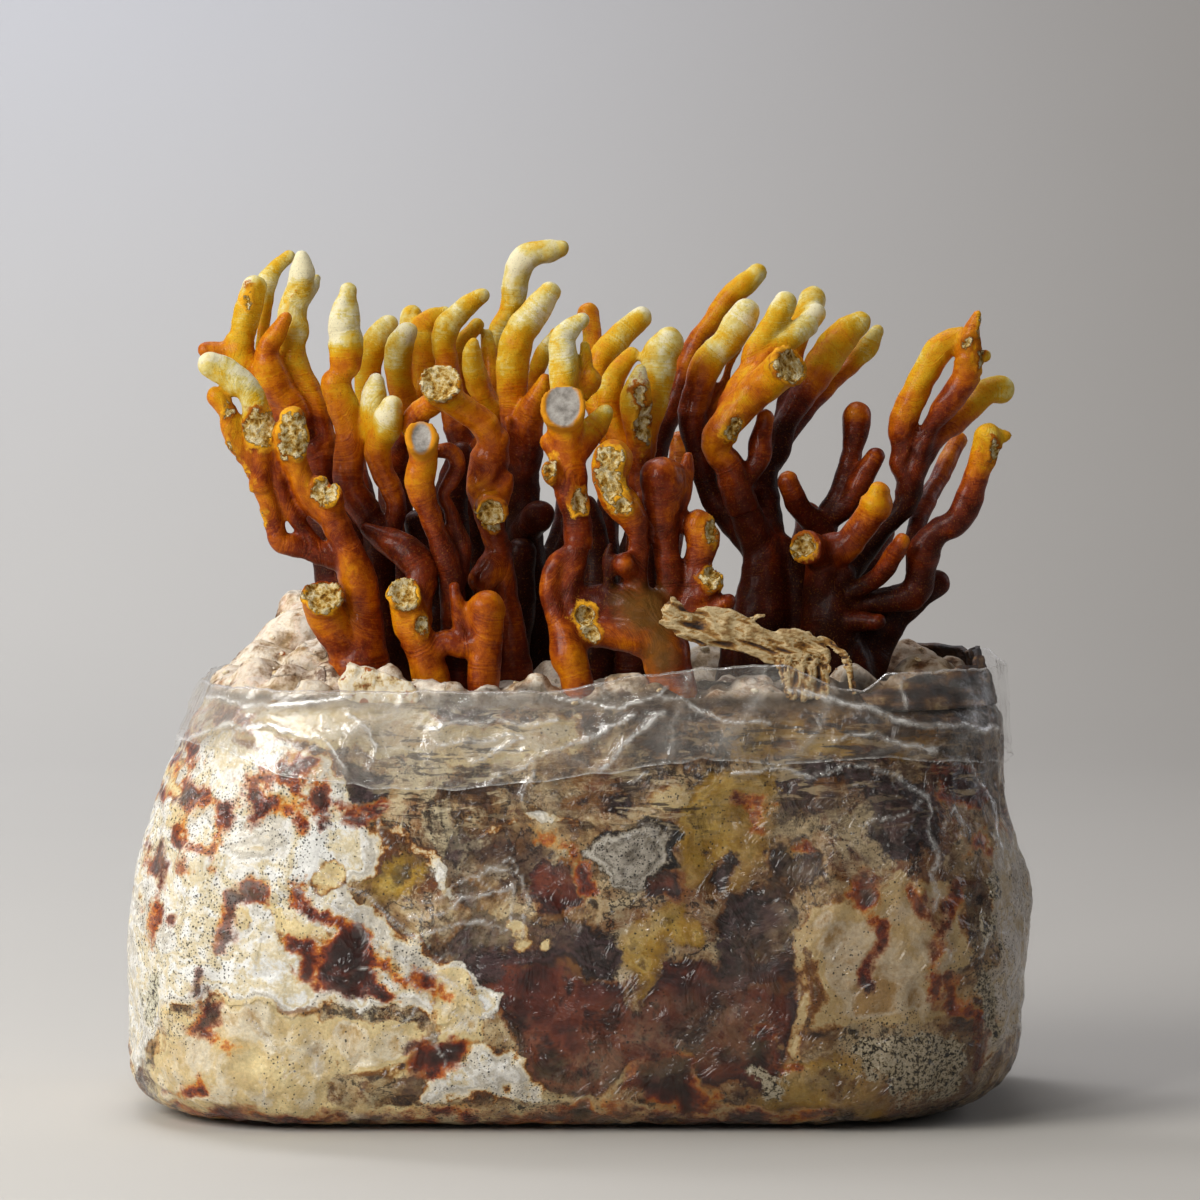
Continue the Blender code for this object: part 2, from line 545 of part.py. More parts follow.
            (57.3, 131, 2.8), (58, 136, 2.6), (59, 138.5, 2.4), (61, 142, 2.4), (62.5, 146, 2.7),
            (63.3, 149, 2.3), (64, 152, 2.2), (65, 156, 2.9), (65.4, 159.6, 3.1),
        )),
        (-4, -6, ROUND, (
            (58.5, 136, 2.3), (61.5, 138, 2.3), (63.5, 140, 2.4), (66, 144, 2.6), (68, 148, 2.6),
            (69.7, 150.6, 2),
        )),
        (-5, -11, ROUND, (
            (57.5, 133.5, 2.5), (53.5, 137, 2.7), (51, 140, 3), (49, 144.6, 2.4),
        )),
    ),
}

# Branches that a main fork parts from their trunk, whose first finger starts after a gap
PARTED = (
    "antler_front_crown",
    "antler_right_cut_branch",
    "antler_right_pale_branch",
    "antler_right_outer_branch",
    "antler_far_low_branch",
    "antler_far_upper_branch",
    "antler_far_club_branch",
)

# The dried strip of skin
STRIP = (
    (-55, -55, ROUND, (
        (22.5, 113, 2.6), (27, 110.5, 3.2), (34, 110, 3.4), (42, 108, 3.2), (50, 105, 3),
        (55, 102, 2.2),
    )),
    (-55, -55, ROUND, (
        (26, 112.5, 1.6), (31, 114, 1.4),
    )),
    (-55, -55, ROUND, (
        (45, 106, 2), (49, 109, 1.5), (53, 108, 1.2),
    )),
)

COLOURS = {
    "substrate_block": (0.52, 0.40, 0.27, 0.75),
    "plastic_bag": (0.80, 0.78, 0.74, 0.25),
    "dried_skin_strip": (0.62, 0.40, 0.20, 0.6),
    "front": (0.62, 0.22, 0.03, 0.42),
    "back": (0.72, 0.36, 0.06, 0.5),
    "right": (0.42, 0.10, 0.03, 0.42),
}


def new_collection(name):
    collection = bpy.data.collections.new(name)
    bpy.context.scene.collection.children.link(collection)
    return collection


def material(name, colour, alpha=1.0):
    """A plain Principled material from (red, green, blue, roughness)."""
    made = bpy.data.materials.new(name)
    made.use_nodes = True
    shader = made.node_tree.nodes["Principled BSDF"]
    shader.inputs["Base Color"].default_value = (*colour[:3], 1)
    shader.inputs["Roughness"].default_value = colour[3]
    shader.inputs["Metallic"].default_value = 0
    shader.inputs["Alpha"].default_value = alpha
    made.diffuse_color = (*colour[:3], alpha)
    return made


def add_object(name, mesh, collection, finish=None):
    obj = bpy.data.objects.new(name, mesh)
    collection.objects.link(obj)
    if finish:
        mesh.materials.append(finish)
    return obj


def read_at(table, where):
    return float(np.interp(where, [row[0] for row in table], [row[1] for row in table]))


def smooth_step(value):
    value = min(1.0, max(0.0, value))
    return value * value * (3 - 2 * value)


def outline(height, inset):
    """Evenly spaced points, in millimetres, round the bag at a height."""
    left = read_at(LEFT_SIDE, height) - inset
    right = read_at(RIGHT_SIDE, height) - inset
    half_depth = read_at(DEPTH_SIDE, height) - inset
    corner = CORNER_RADIUS - inset
    dense = []
    for side, end, start in ((1, -1, -90), (1, 1, 0), (-1, 1, 90), (-1, -1, 180)):
        reach = right if side > 0 else left
        for step in range(ARC_STEPS + 1):
            angle = math.radians(start + 90 * step / ARC_STEPS)
            dense.append((side * (reach - corner) + corner * math.cos(angle),
                          end * (half_depth - corner) + corner * math.sin(angle)))
    dense = np.array(dense + dense[:1])
    along = np.concatenate([[0], np.cumsum(np.linalg.norm(np.diff(dense, axis=0), axis=1))])
    wanted = np.linspace(0, along[-1], FILM_COLUMNS, endpoint=False)
    return np.stack([np.interp(wanted, along, dense[:, axis]) for axis in (0, 1)], axis=1)


def away_from_line(point, first, second):
    """Distance of a point from a stretch of line, both as (across, height)."""
    point, first, second = Vector(point), Vector(first), Vector(second)
    run = second - first
    share = min(1.0, max(0.0, (point - first).dot(run) / run.length_squared))
    return (point - first - run * share).length


def dent(x, y, height):
    """How far the wall stands out from its plain shape, in millimetres."""
    out = DENT_DEPTH * noise.noise(Vector((x, y, height)) / DENT_LENGTH)
    if y < 0:
        for first, second, half_width, depth in FOLDS:
            out += depth * math.exp(-(away_from_line((x, height), first, second) / half_width) ** 2)
    return out * smooth_step((height - 3) / 15)


def wall_point(column, height, inset):
    """A point of the wall, in metres: inset is measured inwards from the film's outer face."""
    ring = outline(height, inset)
    x, y = ring[column]
    before, after = ring[column - 1], ring[(column + 1) % FILM_COLUMNS]
    outward = Vector((after[1] - before[1], before[0] - after[0], 0)).normalized()
    out = dent(x, y, height)
    return (Vector((x, y, height)) + outward * out) * MM


def edge_height(column, front, back):
    """Height of a wavy edge of the film over one column."""
    x, y = outline(100, 0)[column]
    share = smooth_step((y + 40) / 80)
    return read_at(front, x) * (1 - share) + read_at(back, x) * share


def film_mesh():
    """The film's outer face as an open surface: foot, wall, over the rim, and down the cuff."""
    rows = [[(height, inset) for height, inset in FOOT] for _ in range(FILM_COLUMNS)]
    for column, profile in enumerate(rows):
        rim = edge_height(column, RIM_FRONT, RIM_BACK)
        hem = edge_height(column, CUFF_FRONT, CUFF_BACK)
        over = -CUFF_GAP
        profile += [(height, 0) for height in FILM_ROWS]
        profile += [(hem, 0), (rim - 0.5, 0), (rim, over / 2), (rim - 0.6, over), (hem, over)]
    shape = bmesh.new()
    grid = [
        [shape.verts.new(wall_point(column, *place)) for place in profile]
        for column, profile in enumerate(rows)
    ]
    shape.faces.new([grid[column][0] for column in reversed(range(FILM_COLUMNS))])
    for column, profile in enumerate(grid):
        beside = grid[(column + 1) % FILM_COLUMNS]
        for row in range(len(profile) - 1):
            shape.faces.new((profile[row], beside[row], beside[row + 1], profile[row + 1]))
    mesh = bpy.data.meshes.new("plastic_bag")
    shape.to_mesh(mesh)
    shape.free()
    return mesh


def make_bag(collection):
    bag = add_object("plastic_bag", film_mesh(), collection,
                     material("clear film", COLOURS["plastic_bag"], alpha=0.35))
    thickness = bag.modifiers.new("Film thickness", "SOLIDIFY")
    thickness.thickness = FILM_THICKNESS * MM
    thickness.offset = -1
    return bag


def add_ball(shape, centre, radius, subdivisions=2):
    """An icosphere, placed in millimetres."""
    place = Matrix.Translation(Vector(centre) * MM)
    bmesh.ops.create_icosphere(shape, subdivisions=subdivisions, radius=radius * MM, matrix=place)


def block_shape(grown):
    """The block's closed skin and its lumps, still as separate shells, grown by this much."""
    inset = FILM_THICKNESS + BLOCK_GAP - grown
    shape = bmesh.new()
    rings = []
    for height in BLOCK_ROWS:
        share = height / BLOCK_ROWS[-1]
        raised = height + inset * (1 - share)
        foot = read_at(FOOT, height)
        rings.append([wall_point(column, raised, inset + foot) for column in range(FILM_COLUMNS)])
    for further, height in BLOCK_SHOULDER:
        raised = height + grown
        rings.append([wall_point(column, raised, inset + further) for column in range(FILM_COLUMNS)])
    rings = [[shape.verts.new(point) for point in ring] for ring in rings]
    for lower, upper in zip(rings, rings[1:]):
        for column in range(FILM_COLUMNS):
            beside = (column + 1) % FILM_COLUMNS
            shape.faces.new((lower[column], lower[beside], upper[beside], upper[column]))
    shape.faces.new(reversed(rings[0]))
    shape.faces.new(rings[-1])
    for x, y, z, radius in LUMPS:
        add_ball(shape, (x, y, z), radius + grown)
    for step in range(CRUST_STEPS):
        centre = Vector(CRUST_FROM).lerp(Vector(CRUST_TO), step / (CRUST_STEPS - 1))
        add_ball(shape, centre, CRUST_RADIUS + grown)
    return shape


def evaluated_mesh(obj):
    bpy.context.view_layer.update()
    graph = bpy.context.evaluated_depsgraph_get()
    return bpy.data.meshes.new_from_object(obj.evaluated_get(graph), depsgraph=graph)


def melt_together(obj, voxel, triangles, smoothing):
    """Joins an object's shells into one skin and thins it to about this many triangles."""
    remesh = obj.modifiers.new("One skin", "REMESH")
    remesh.mode = "VOXEL"
    remesh.voxel_size = voxel * MM
    if smoothing:
        smooth = obj.modifiers.new("Even out", "SMOOTH")
        smooth.factor = 0.5
        smooth.iterations = smoothing
    whole = evaluated_mesh(obj)
    whole.calc_loop_triangles()
    count = len(whole.loop_triangles)
    bpy.data.meshes.remove(whole)
    thin = obj.modifiers.new("Thin out", "DECIMATE")
    thin.ratio = min(1.0, triangles / count)
    thin.use_collapse_triangulate = True


def make_block(name, collection, finish=None, grown=0.0):
    mesh = bpy.data.meshes.new(name)
    shape = block_shape(grown)
    shape.to_mesh(mesh)
    shape.free()
    block = add_object(name, mesh, collection, finish)
    melt_together(block, BLOCK_VOXEL, BLOCK_TRIANGLES, smoothing=2)
    return block


def finger_points(finger):
    """A finger's points in space, in millimetres, with their radii."""
    base_depth, tip_depth, _, points = finger
    flat = [Vector(point[:2]) for point in points]
    along = np.concatenate([[0], np.cumsum([(b - a).length for a, b in zip(flat, flat[1:])])])
    placed = []
    for point, travelled in zip(points, along):
        nearer = point[3] if len(point) > 3 else 0
        depth = base_depth + (tip_depth - base_depth) * travelled / along[-1] - nearer
        scale = (EYE_DISTANCE + depth) / EYE_DISTANCE
        height = EYE_HEIGHT + (point[1] - EYE_HEIGHT) * scale
        placed.append((Vector((point[0] * scale, depth, height)), point[2] * scale * RADIUS_GAIN))
    return placed


def length_of(finger):
    places = [place for place, _ in finger_points(finger)]
    return sum((after - before).length for before, after in zip(places, places[1:]))


def finger_tube(finger, start_gap=0.0):
    """A tapering tube through a finger's points, as a mesh with welded caps."""
    placed = finger_points(finger)
    if start_gap:
        first, second = placed[0][0], placed[1][0]
        placed[0] = (first + (second - first).normalized() * start_gap, placed[0][1])
    curve = bpy.data.curves.new("finger", "CURVE")
    curve.dimensions = "3D"
    curve.bevel_depth = MM
    curve.bevel_resolution = 2
    curve.resolution_u = 4
    curve.use_fill_caps = True
    spline = curve.splines.new("BEZIER")
    spline.bezier_points.add(len(placed) - 1)
    for knot, (place, radius) in zip(spline.bezier_points, placed):
        knot.co = place * MM
        knot.radius = radius
        knot.handle_left_type = "AUTO"
        knot.handle_right_type = "AUTO"
    tube = bpy.data.objects.new("finger", curve)
    bpy.context.scene.collection.objects.link(tube)
    mesh = evaluated_mesh(tube)
    bpy.data.objects.remove(tube)
    bpy.data.curves.remove(curve)
    return mesh, placed


def add_fingers(shape, fingers, parted):
    for number, finger in enumerate(fingers):
        mesh, placed = finger_tube(finger, FORK_GAP if parted and number == 0 else 0)
        shape.from_mesh(mesh)
        bpy.data.meshes.remove(mesh)
        if finger[2] == ROUND:
            place, radius = placed[-1]
            add_ball(shape, place, radius)
    bmesh.ops.remove_doubles(shape, verts=shape.verts, dist=1e-6)
    bmesh.ops.recalc_face_normals(shape, faces=shape.faces)


def make_antler(name, fingers, collection, finish, cutter):
    shape = bmesh.new()
    add_fingers(shape, fingers, name in PARTED)
    mesh = bpy.data.meshes.new(name)
    shape.to_mesh(mesh)
    shape.free()
    antler = add_object(name, mesh, collection, finish)
    triangles = sum(TRIANGLES_PER_FINGER + TRIANGLES_PER_MM * length_of(finger) for finger in fingers)
    melt_together(antler, ANTLER_VOXEL, triangles, smoothing=3)
    if name not in PARTED:
        foot = antler.modifiers.new("Stand on the block", "BOOLEAN")
        foot.operation = "DIFFERENCE"
        foot.object = cutter
    return antler


def make_strip(collection):
    shape = bmesh.new()
    add_fingers(shape, STRIP, False)
    middle = STRIP[0][0] * MM
    for vertex in shape.verts:
        vertex.co.y = middle + (vertex.co.y - middle) * STRIP_FLATNESS
    mesh = bpy.data.meshes.new("dried_skin_strip")
    shape.to_mesh(mesh)
    shape.free()
    finish = material("dried skin", COLOURS["dried_skin_strip"])
    strip = add_object("dried_skin_strip", mesh, collection, finish)
    melt_together(strip, STRIP_VOXEL, STRIP_TRIANGLES, smoothing=1)
    return strip


def main():
    for obj in list(bpy.data.objects):
        bpy.data.objects.remove(obj)
    parts = new_collection("reishi mushroom grow bag")
    cutters = new_collection("cutters")
    make_block("substrate_block", parts, material("mycelium block", COLOURS["substrate_block"]))
    make_bag(parts)
    make_strip(parts)
    cutter = make_block("block with gap", cutters, grown=SOCKET_GAP)
    cutter.hide_render = True
    cutter.display_type = "WIRE"
    finishes = {kind: material("antler " + kind, COLOURS[kind]) for kind in ("front", "back", "right")}
    for name, fingers in ANTLERS.items():
        if "right" in name or "far" in name:
            finish = finishes["right"]
        elif fingers[0][0] > 0:
            finish = finishes["back"]
        else:
            finish = finishes["front"]
        make_antler(name, fingers, parts, finish, cutter)


main()
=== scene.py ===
import math
from functools import partial
import bmesh
import bpy
import numpy as np
from mathutils import Matrix, Vector, noise
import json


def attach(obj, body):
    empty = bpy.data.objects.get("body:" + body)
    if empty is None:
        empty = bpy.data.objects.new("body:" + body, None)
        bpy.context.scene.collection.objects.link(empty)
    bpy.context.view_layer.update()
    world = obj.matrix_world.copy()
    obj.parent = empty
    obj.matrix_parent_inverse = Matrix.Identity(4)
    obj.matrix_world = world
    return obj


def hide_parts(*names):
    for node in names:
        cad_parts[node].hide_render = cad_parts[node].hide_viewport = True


# Reishi grow bag: a mycelium block in clear film, with antler-shaped reishi on its top
# Lengths in the tables are millimetres, and the scene is in metres
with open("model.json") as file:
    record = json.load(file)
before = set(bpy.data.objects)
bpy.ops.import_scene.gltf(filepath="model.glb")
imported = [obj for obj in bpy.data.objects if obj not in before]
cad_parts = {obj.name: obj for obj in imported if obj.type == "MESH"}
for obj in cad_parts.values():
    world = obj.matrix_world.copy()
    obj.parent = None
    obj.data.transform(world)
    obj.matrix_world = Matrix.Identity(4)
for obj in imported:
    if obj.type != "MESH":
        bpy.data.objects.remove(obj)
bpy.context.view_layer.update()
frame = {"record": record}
mm = 0.001


# sRGB hex to the linear colour that sockets take
def fromHex(code):
    parts = [int(code[start:start + 2], 16) / 255 for start in (1, 3, 5)]
    return tuple(p / 12.92 if p <= 0.04045 else ((p + 0.055) / 1.055) ** 2.4 for p in parts) + (1.0,)


# inputs by name or number: a value, or the node or socket to link from
def feed(node, inputs):
    for name, value in inputs.items():
        if isinstance(value, bpy.types.Node):
            value = next(output for output in value.outputs if output.enabled)
        if isinstance(value, bpy.types.NodeSocket):
            node.id_data.links.new(value, node.inputs[name])
        else:
            node.inputs[name].default_value = value
    return node


# one node: its kind and operation ("ShaderNode" may be left off), its inputs in order, then by name in a
# last dictionary, and its settings
def addNode(tree, kind, *given, **settings):
    kind, _, operation = kind.partition(" ")
    node = tree.nodes.new(kind if "Node" in kind else "ShaderNode" + kind)
    if operation:
        setattr(node, "operation" if hasattr(node, "operation") else "data_type", operation)
    for name, value in settings.items():
        setattr(node, name, value)
    named = {}
    if given and isinstance(given[-1], dict):
        *given, named = given
    live = [number for number, socket in enumerate(node.inputs) if socket.enabled]
    return feed(node, {**dict(zip(live, given)), **named})


# a material, its shader, and the function that adds its nodes
def newMaterial(name):
    material = bpy.data.materials.new(name)
    material.use_nodes = True
    tree = material.node_tree
    return material, tree.nodes["Principled BSDF"], partial(addNode, tree)


def fillRamp(node, stops):
    elements = node.color_ramp.elements
    while len(elements) > 1:
        elements.remove(elements[-1])
    elements[0].position = stops[0][0]
    elements[0].color = fromHex(stops[0][1])
    for place, code in stops[1:]:
        elements.new(place).color = fromHex(code)
    return node


def newMesh(name, points, faces):
    mesh = bpy.data.meshes.new(name)
    mesh.from_pydata([tuple(point) for point in points], [], [tuple(face) for face in faces])
    mesh.update()
    return mesh


def newObject(name, mesh, material=None):
    obj = bpy.data.objects.new(name, mesh)
    bpy.context.scene.collection.objects.link(obj)
    if material:
        mesh.materials.clear()
        mesh.materials.append(material)
    return obj


# the mesh that a bmesh holds
def meshFrom(shape, name):
    mesh = bpy.data.meshes.new(name)
    shape.to_mesh(mesh)
    shape.free()
    return mesh


def evaluatedMesh(obj):
    bpy.context.view_layer.update()
    graph = bpy.context.evaluated_depsgraph_get()
    return bpy.data.meshes.new_from_object(obj.evaluated_get(graph), depsgraph=graph)


# closed shells melted into one even skin of small faces
def meltedMesh(name, mesh, voxel, smoothing):
    helper = newObject(name, mesh)
    remesh = helper.modifiers.new("oneSkin", "REMESH")
    remesh.mode = "VOXEL"
    remesh.voxel_size = voxel * mm
    smooth = helper.modifiers.new("evenOut", "SMOOTH")
    smooth.factor = 0.5
    smooth.iterations = smoothing
    melted = evaluatedMesh(helper)
    bpy.data.objects.remove(helper)
    melted.name = name
    melted.shade_smooth()
    return melted


def pointsOf(mesh):
    found = np.empty(len(mesh.vertices) * 3, np.float32)
    mesh.vertices.foreach_get("co", found)
    return found.reshape(-1, 3).astype(float) / mm


def normalsOf(mesh):
    found = np.empty(len(mesh.vertices) * 3, np.float32)
    mesh.vertex_normals.foreach_get("vector", found)
    return found.reshape(-1, 3).astype(float)


def movePoints(mesh, points):
    mesh.vertices.foreach_set("co", (points * mm).astype(np.float32).ravel())
    mesh.update()


def storeField(mesh, name, values):
    field = mesh.attributes.new(name, "FLOAT", "POINT")
    field.data.foreach_set("value", np.clip(values, 0, 1).astype(np.float32))


def noiseAt(points, size, shift=0.0, octaves=1):
    total = np.zeros(len(points))
    strength = 1.0
    for _ in range(octaves):
        places = (points + shift) / size
        total += strength * np.array([noise.noise(place) for place in places.tolist()])
        strength *= 0.5
        size *= 0.5
    return total


# noises side by side, one for each shift
def noisesAt(points, size, shifts, octaves=1):
    return np.stack([noiseAt(points, size, shift, octaves) for shift in shifts], axis=1)


def smoothStep(low, high, values):
    share = np.clip((np.asarray(values, float) - low) / (high - low), 0, 1)
    return share * share * (3 - 2 * share)


def readAt(table, where):
    return np.interp(where, [row[0] for row in table], [row[1] for row in table])


def lengthsAlong(places):
    return np.concatenate([[0], np.cumsum(np.linalg.norm(np.diff(places, axis=0), axis=1))])


# how deep inside an ellipse places lie, in millimetres: (across, height, half width, half height, tilt)
def ellipseDepth(across, height, ellipse):
    middleAcross, middleHeight, halfWidth, halfHeight, *tilt = ellipse
    turn = math.radians(tilt[0]) if tilt else 0.0
    right, up = across - middleAcross, height - middleHeight
    turnedRight = right * math.cos(turn) + up * math.sin(turn)
    turnedUp = up * math.cos(turn) - right * math.sin(turn)
    return (1 - np.hypot(turnedRight / halfWidth, turnedUp / halfHeight)) * min(halfWidth, halfHeight)


# how much larger things are drawn at a depth, so that they show at their size from the front
def scaleAt(depth):
    return (viewSettings["eyeDistance"] + depth) / viewSettings["eyeDistance"]


# the height at which something stands that shows at a height on the plane through the middle
def heightAt(height, scale):
    return viewSettings["eyeHeight"] + (height - viewSettings["eyeHeight"]) * scale


# where a point shows from the front, as (across, height) on the plane through the middle
def seenPlace(points):
    scale = scaleAt(points[:, 1])
    height = viewSettings["eyeHeight"] + (points[:, 2] - viewSettings["eyeHeight"]) / scale
    return points[:, 0] / scale, height


# camera, floor and light
viewSettings = {
    "eyeDistance": 1400,
    "eyeHeight": 190,
    "eyeAcross": 5.4,
    "aimHeight": 117.1,
    "frameWidth": 280,
}
lightSettings = {
    # name: place (m), width (m), height (m), watts, colour, aimed at (m)
    "windowSoftbox": ((-0.82, -0.58, 0.62), 0.6, 0.7, 11.0, "#fffdf8", (-0.04, 0, 0.1)),
    "frontFill": ((0.2, -1.8, 0.5), 0.8, 0.6, 1.2, "#fffaf4", (0, 0, 0.1)),
    "topPanel": ((-0.1, 0.05, 1.3), 0.7, 0.6, 4.5, "#fbfbff", (0, 0, 0.12)),
    "glintStrip": ((-0.5, -1.1, 0.7), 0.08, 0.5, 2.6, "#fffefa", (-0.02, 0, 0.06)),
    "edgePanel": ((0.95, 0.35, 0.5), 0.5, 0.7, 1.6, "#f4f6ff", (0, 0, 0.12)),
    "backdropWash": ((-0.8, 0.9, 1.9), 1.2, 0.5, 28.0, "#f8f9ff", (-0.4, 1.9, 0.6)),
}
worldLight = {"colour": "#e6e8ec", "strength": 0.1}
backdropSettings = {
    "floor": "#ccc9c3", "wall": "#cdced2", "farSide": "#a39e97",
    # metres: the wall's place, the radius of the bend, half the width, the front edge and the top
    "back": 1.9, "bend": 0.9, "half": 4.0, "front": -2.6, "top": 2.6,
    "bendSteps": 16,
}


def addCamera():
    data = bpy.data.cameras.new("photoCamera")
    camera = bpy.data.objects.new("photoCamera", data)
    bpy.context.scene.collection.objects.link(camera)
    eye = Vector((viewSettings["eyeAcross"], -viewSettings["eyeDistance"], viewSettings["eyeHeight"])) * mm
    aim = Vector((viewSettings["eyeAcross"], 0, viewSettings["aimHeight"])) * mm
    camera.location = eye
    camera.rotation_euler = (aim - eye).to_track_quat("-Z", "Y").to_euler()
    data.sensor_width = 36
    data.lens = 36 * (aim - eye).length / (viewSettings["frameWidth"] * mm)
    data.clip_start = 0.05
    bpy.context.scene.camera = camera


def addLights():
    for name, (place, width, height, watts, colour, aim) in lightSettings.items():
        data = bpy.data.lights.new(name, "AREA")
        data.shape = "RECTANGLE"
        data.size = width
        data.size_y = height
        data.energy = watts
        data.color = fromHex(colour)[:3]
        lamp = bpy.data.objects.new(name, data)
        bpy.context.scene.collection.objects.link(lamp)
        lamp.location = place
        lamp.rotation_euler = (Vector(aim) - Vector(place)).to_track_quat("-Z", "Y").to_euler()
    world = bpy.data.worlds.new("softRoom")
    world.use_nodes = True
    sky = world.node_tree.nodes["Background"]
    sky.inputs["Color"].default_value = fromHex(worldLight["colour"])
    sky.inputs["Strength"].default_value = worldLight["strength"]
    bpy.context.scene.world = world
    bpy.context.scene.view_settings.view_transform = "Standard"


# painted studio board: dead matt, a warmer tone on the floor than on the wall, and painted shade towards the
# right
def boardMaterial():
    material, shader, add = newMaterial("mattBackdropBoard")
    place = add("TexCoord").outputs["Object"]
    axes = add("SeparateXYZ", place)
    rise = add("MapRange", axes.outputs["Z"], 0.0, 0.45, interpolation_type="SMOOTHSTEP")
    tone = add("Mix RGBA", rise, fromHex(backdropSettings["floor"]), fromHex(backdropSettings["wall"]))
    # painted shade: the board darkens towards the right, away from the light
    sideways = add("MapRange", axes.outputs["X"], -0.35, 0.5, interpolation_type="SMOOTHSTEP")
    tone = add("Mix RGBA", sideways, tone, fromHex(backdropSettings["farSide"]))
    uneven = add("MapRange", add("TexNoise", place, 3.0, 3.0), {"To Min": 0.97, "To Max": 1.03})
    shade = add("VectorMath MULTIPLY", tone, uneven)
    feed(shader, {"Base Color": shade, "Roughness": 0.92, "Specular IOR Level": 0.15})
    return material


def addBackdrop():
    back, bend, half = (backdropSettings[name] for name in ("back", "bend", "half"))
    profile = [(backdropSettings["front"], 0.0)]
    for angle in np.linspace(0, math.pi / 2, backdropSettings["bendSteps"] + 1):
        profile.append((back - bend + bend * math.sin(angle), bend - bend * math.cos(angle)))
    profile.append((back, backdropSettings["top"]))
    points = [(side * half, y, z) for side in (-1, 1) for y, z in profile]
    count = len(profile)
    faces = [(n, n + count, n + count + 1, n + 1) for n in range(count - 1)]
    board = newObject("backdropBoard", newMesh("backdropBoard", points, faces), boardMaterial())
    board.data.shade_smooth()


addCamera()
addLights()
addBackdrop()
print("camera, lights and backdrop are set")

# the last item of a finger whose end is cut flat; the others end in a ball
cutTip = "cut"

antlerSettings = {
    "voxel": 0.5,           # size of the skin's faces, mm
    "smoothing": 4,
    "gain": 1.09,           # makes up for what the smoothing takes off, and a little more
    "sides": 20,
    "ballDetail": 3,
    "stepsPerPoint": 8,
    "root": 2.2,            # how much further back than its first point a finger starts, mm
    "blend": 1.4,           # how far a finger's colour runs into the one it grows from, mm
    "near": 7,              # points further than this from a finger's skin take nothing from it, mm
    "ageStep": 0.6,         # distance between the places where age is read, mm
    "batch": 20000,         # points measured at a time
    # forms of the skin: whether they follow the finger's length, height and size in mm, the noise's shift,
    # and how much younger their crowns look: a painted highlight on the crowns and painted shade in the
    # hollows
    "forms": (
        (False, 0.7, 8.5, 0.0, 0.09),       # low lumps
        (False, 0.22, 2.8, 31.0, 0.03),     # knobs
        (True, 0.42, 7.5, 19.0, 0.11),      # swellings with necks between them
        (True, 0.12, 2.4, 7.0, 0.0),        # rings that pinch it every few millimetres
    ),
    "olderAndShadedLow": 0.11,       # how much older the skin looks at the foot (partly real age, partly painted shade), and at the back (painted shade)
    "shadedBack": 0.12,
    "shadedWaist": 0.12,     # and half way up, where the stems crowd: painted shade
}
# mm: how far back a scar reaches, its raised lip, how deep it is cupped or dished, and the distance over
# which its field runs from 0 to 1
scarSettings = {"reach": 6.5, "lip": 0.38, "cup": 0.9, "dish": 0.35, "field": 8}

# young to old, from the growing tip down to the stem
skinTones = (
    (0.0, "#e2d9b4"), (0.08, "#d6c474"), (0.17, "#cfa422"), (0.27, "#cf9208"), (0.38, "#c67402"),
    (0.50, "#a85002"), (0.62, "#772802"), (0.78, "#481203"), (1.0, "#290802"),
)
fleshTones = (
    (0.2, "#2c1a08"), (0.34, "#70491a"), (0.45, "#ae7f2c"), (0.55, "#d8b972"), (0.68, "#f2e4bc"),
    (0.8, "#c79c4c"),
)
discTones = ((0.3, "#77716a"), (0.5, "#9b958e"), (0.7, "#b5b0a8"))
finishes = {
    # slot: name, and how much older its skin looks
    "antler_front": ("lacqueredReishiSkin", 0.0),
    "antler_back": ("shadedReishiSkin", 0.02),
    "antler_right": ("oxbloodReishiSkin", 0.0),
}

# torn or cut places as seen from the front: (across, height, half width, half height, tilt)
tornScars = {
    "antler_left_hand": (
        (-73.7, 157, 3.3, 5.3), (-66, 155.3, 3.5, 5.5), (-58.5, 142.5, 3.4, 3.2), (-81, 161, 1.2, 3),
        (-59.3, 119, 4.5, 4.8), (-80.5, 151, 1.5, 3.4), (-77, 144, 1.3, 3), (-73.5, 136, 1.2, 2.2),
        (-70.5, 167, 1.2, 1.8),
    ),
    "antler_left_stub": ((-40, 119, 3.6, 4.5), (-36.6, 111, 1.9, 2.8)),
    "antler_left_upper": ((-67.5, 189, 2, 3), (-76.5, 187, 1.4, 2.6)),
    "antler_palm": ((-31.5, 168, 4.6, 5), (-19.8, 137, 3.8, 3.7)),
    "antler_front_crown": ((-6, 147.5, 1.6, 2.8), (0.7, 140, 2.5, 3.6)),
    "antler_front_arch": (
        (8, 150, 3.2, 3.5), (7.5, 146, 3, 4), (8.5, 143, 2.8, 3.5), (11, 139.5, 2.2, 2.5),
        (2, 113.5, 3, 3), (4, 109.5, 2.4, 2.4), (31.5, 133, 1.6, 3), (31.5, 122, 3, 3),
    ),
    "antler_centre_crown": ((14.8, 165, 1.8, 3.5), (15.5, 158.5, 2, 5)),
    "antler_right_cut_branch": ((36.3, 157.5, 1.8, 3.2, -30), (50.5, 172, 4.5, 4.6)),
    "antler_far_trunk": ((53, 129.5, 2.8, 3),),
    "antler_far_upper_branch": ((91, 177.5, 1.3, 2), (93.8, 178, 0.9, 7)),
    "antler_far_low_branch": ((97.3, 152, 1.4, 3.2),),
}
discScars = {
    "antler_centre_left": ((-36, 155, 3.2, 4.8),),
    "antler_front_crown": ((-3, 162.5, 4.9, 6),),
}

# olive bruises in the skin: (across, height, half width, half height)
oliveBruises = {
    "antler_front_arch": ((16.5, 115, 12, 10), (19.5, 106, 7, 13)),
}

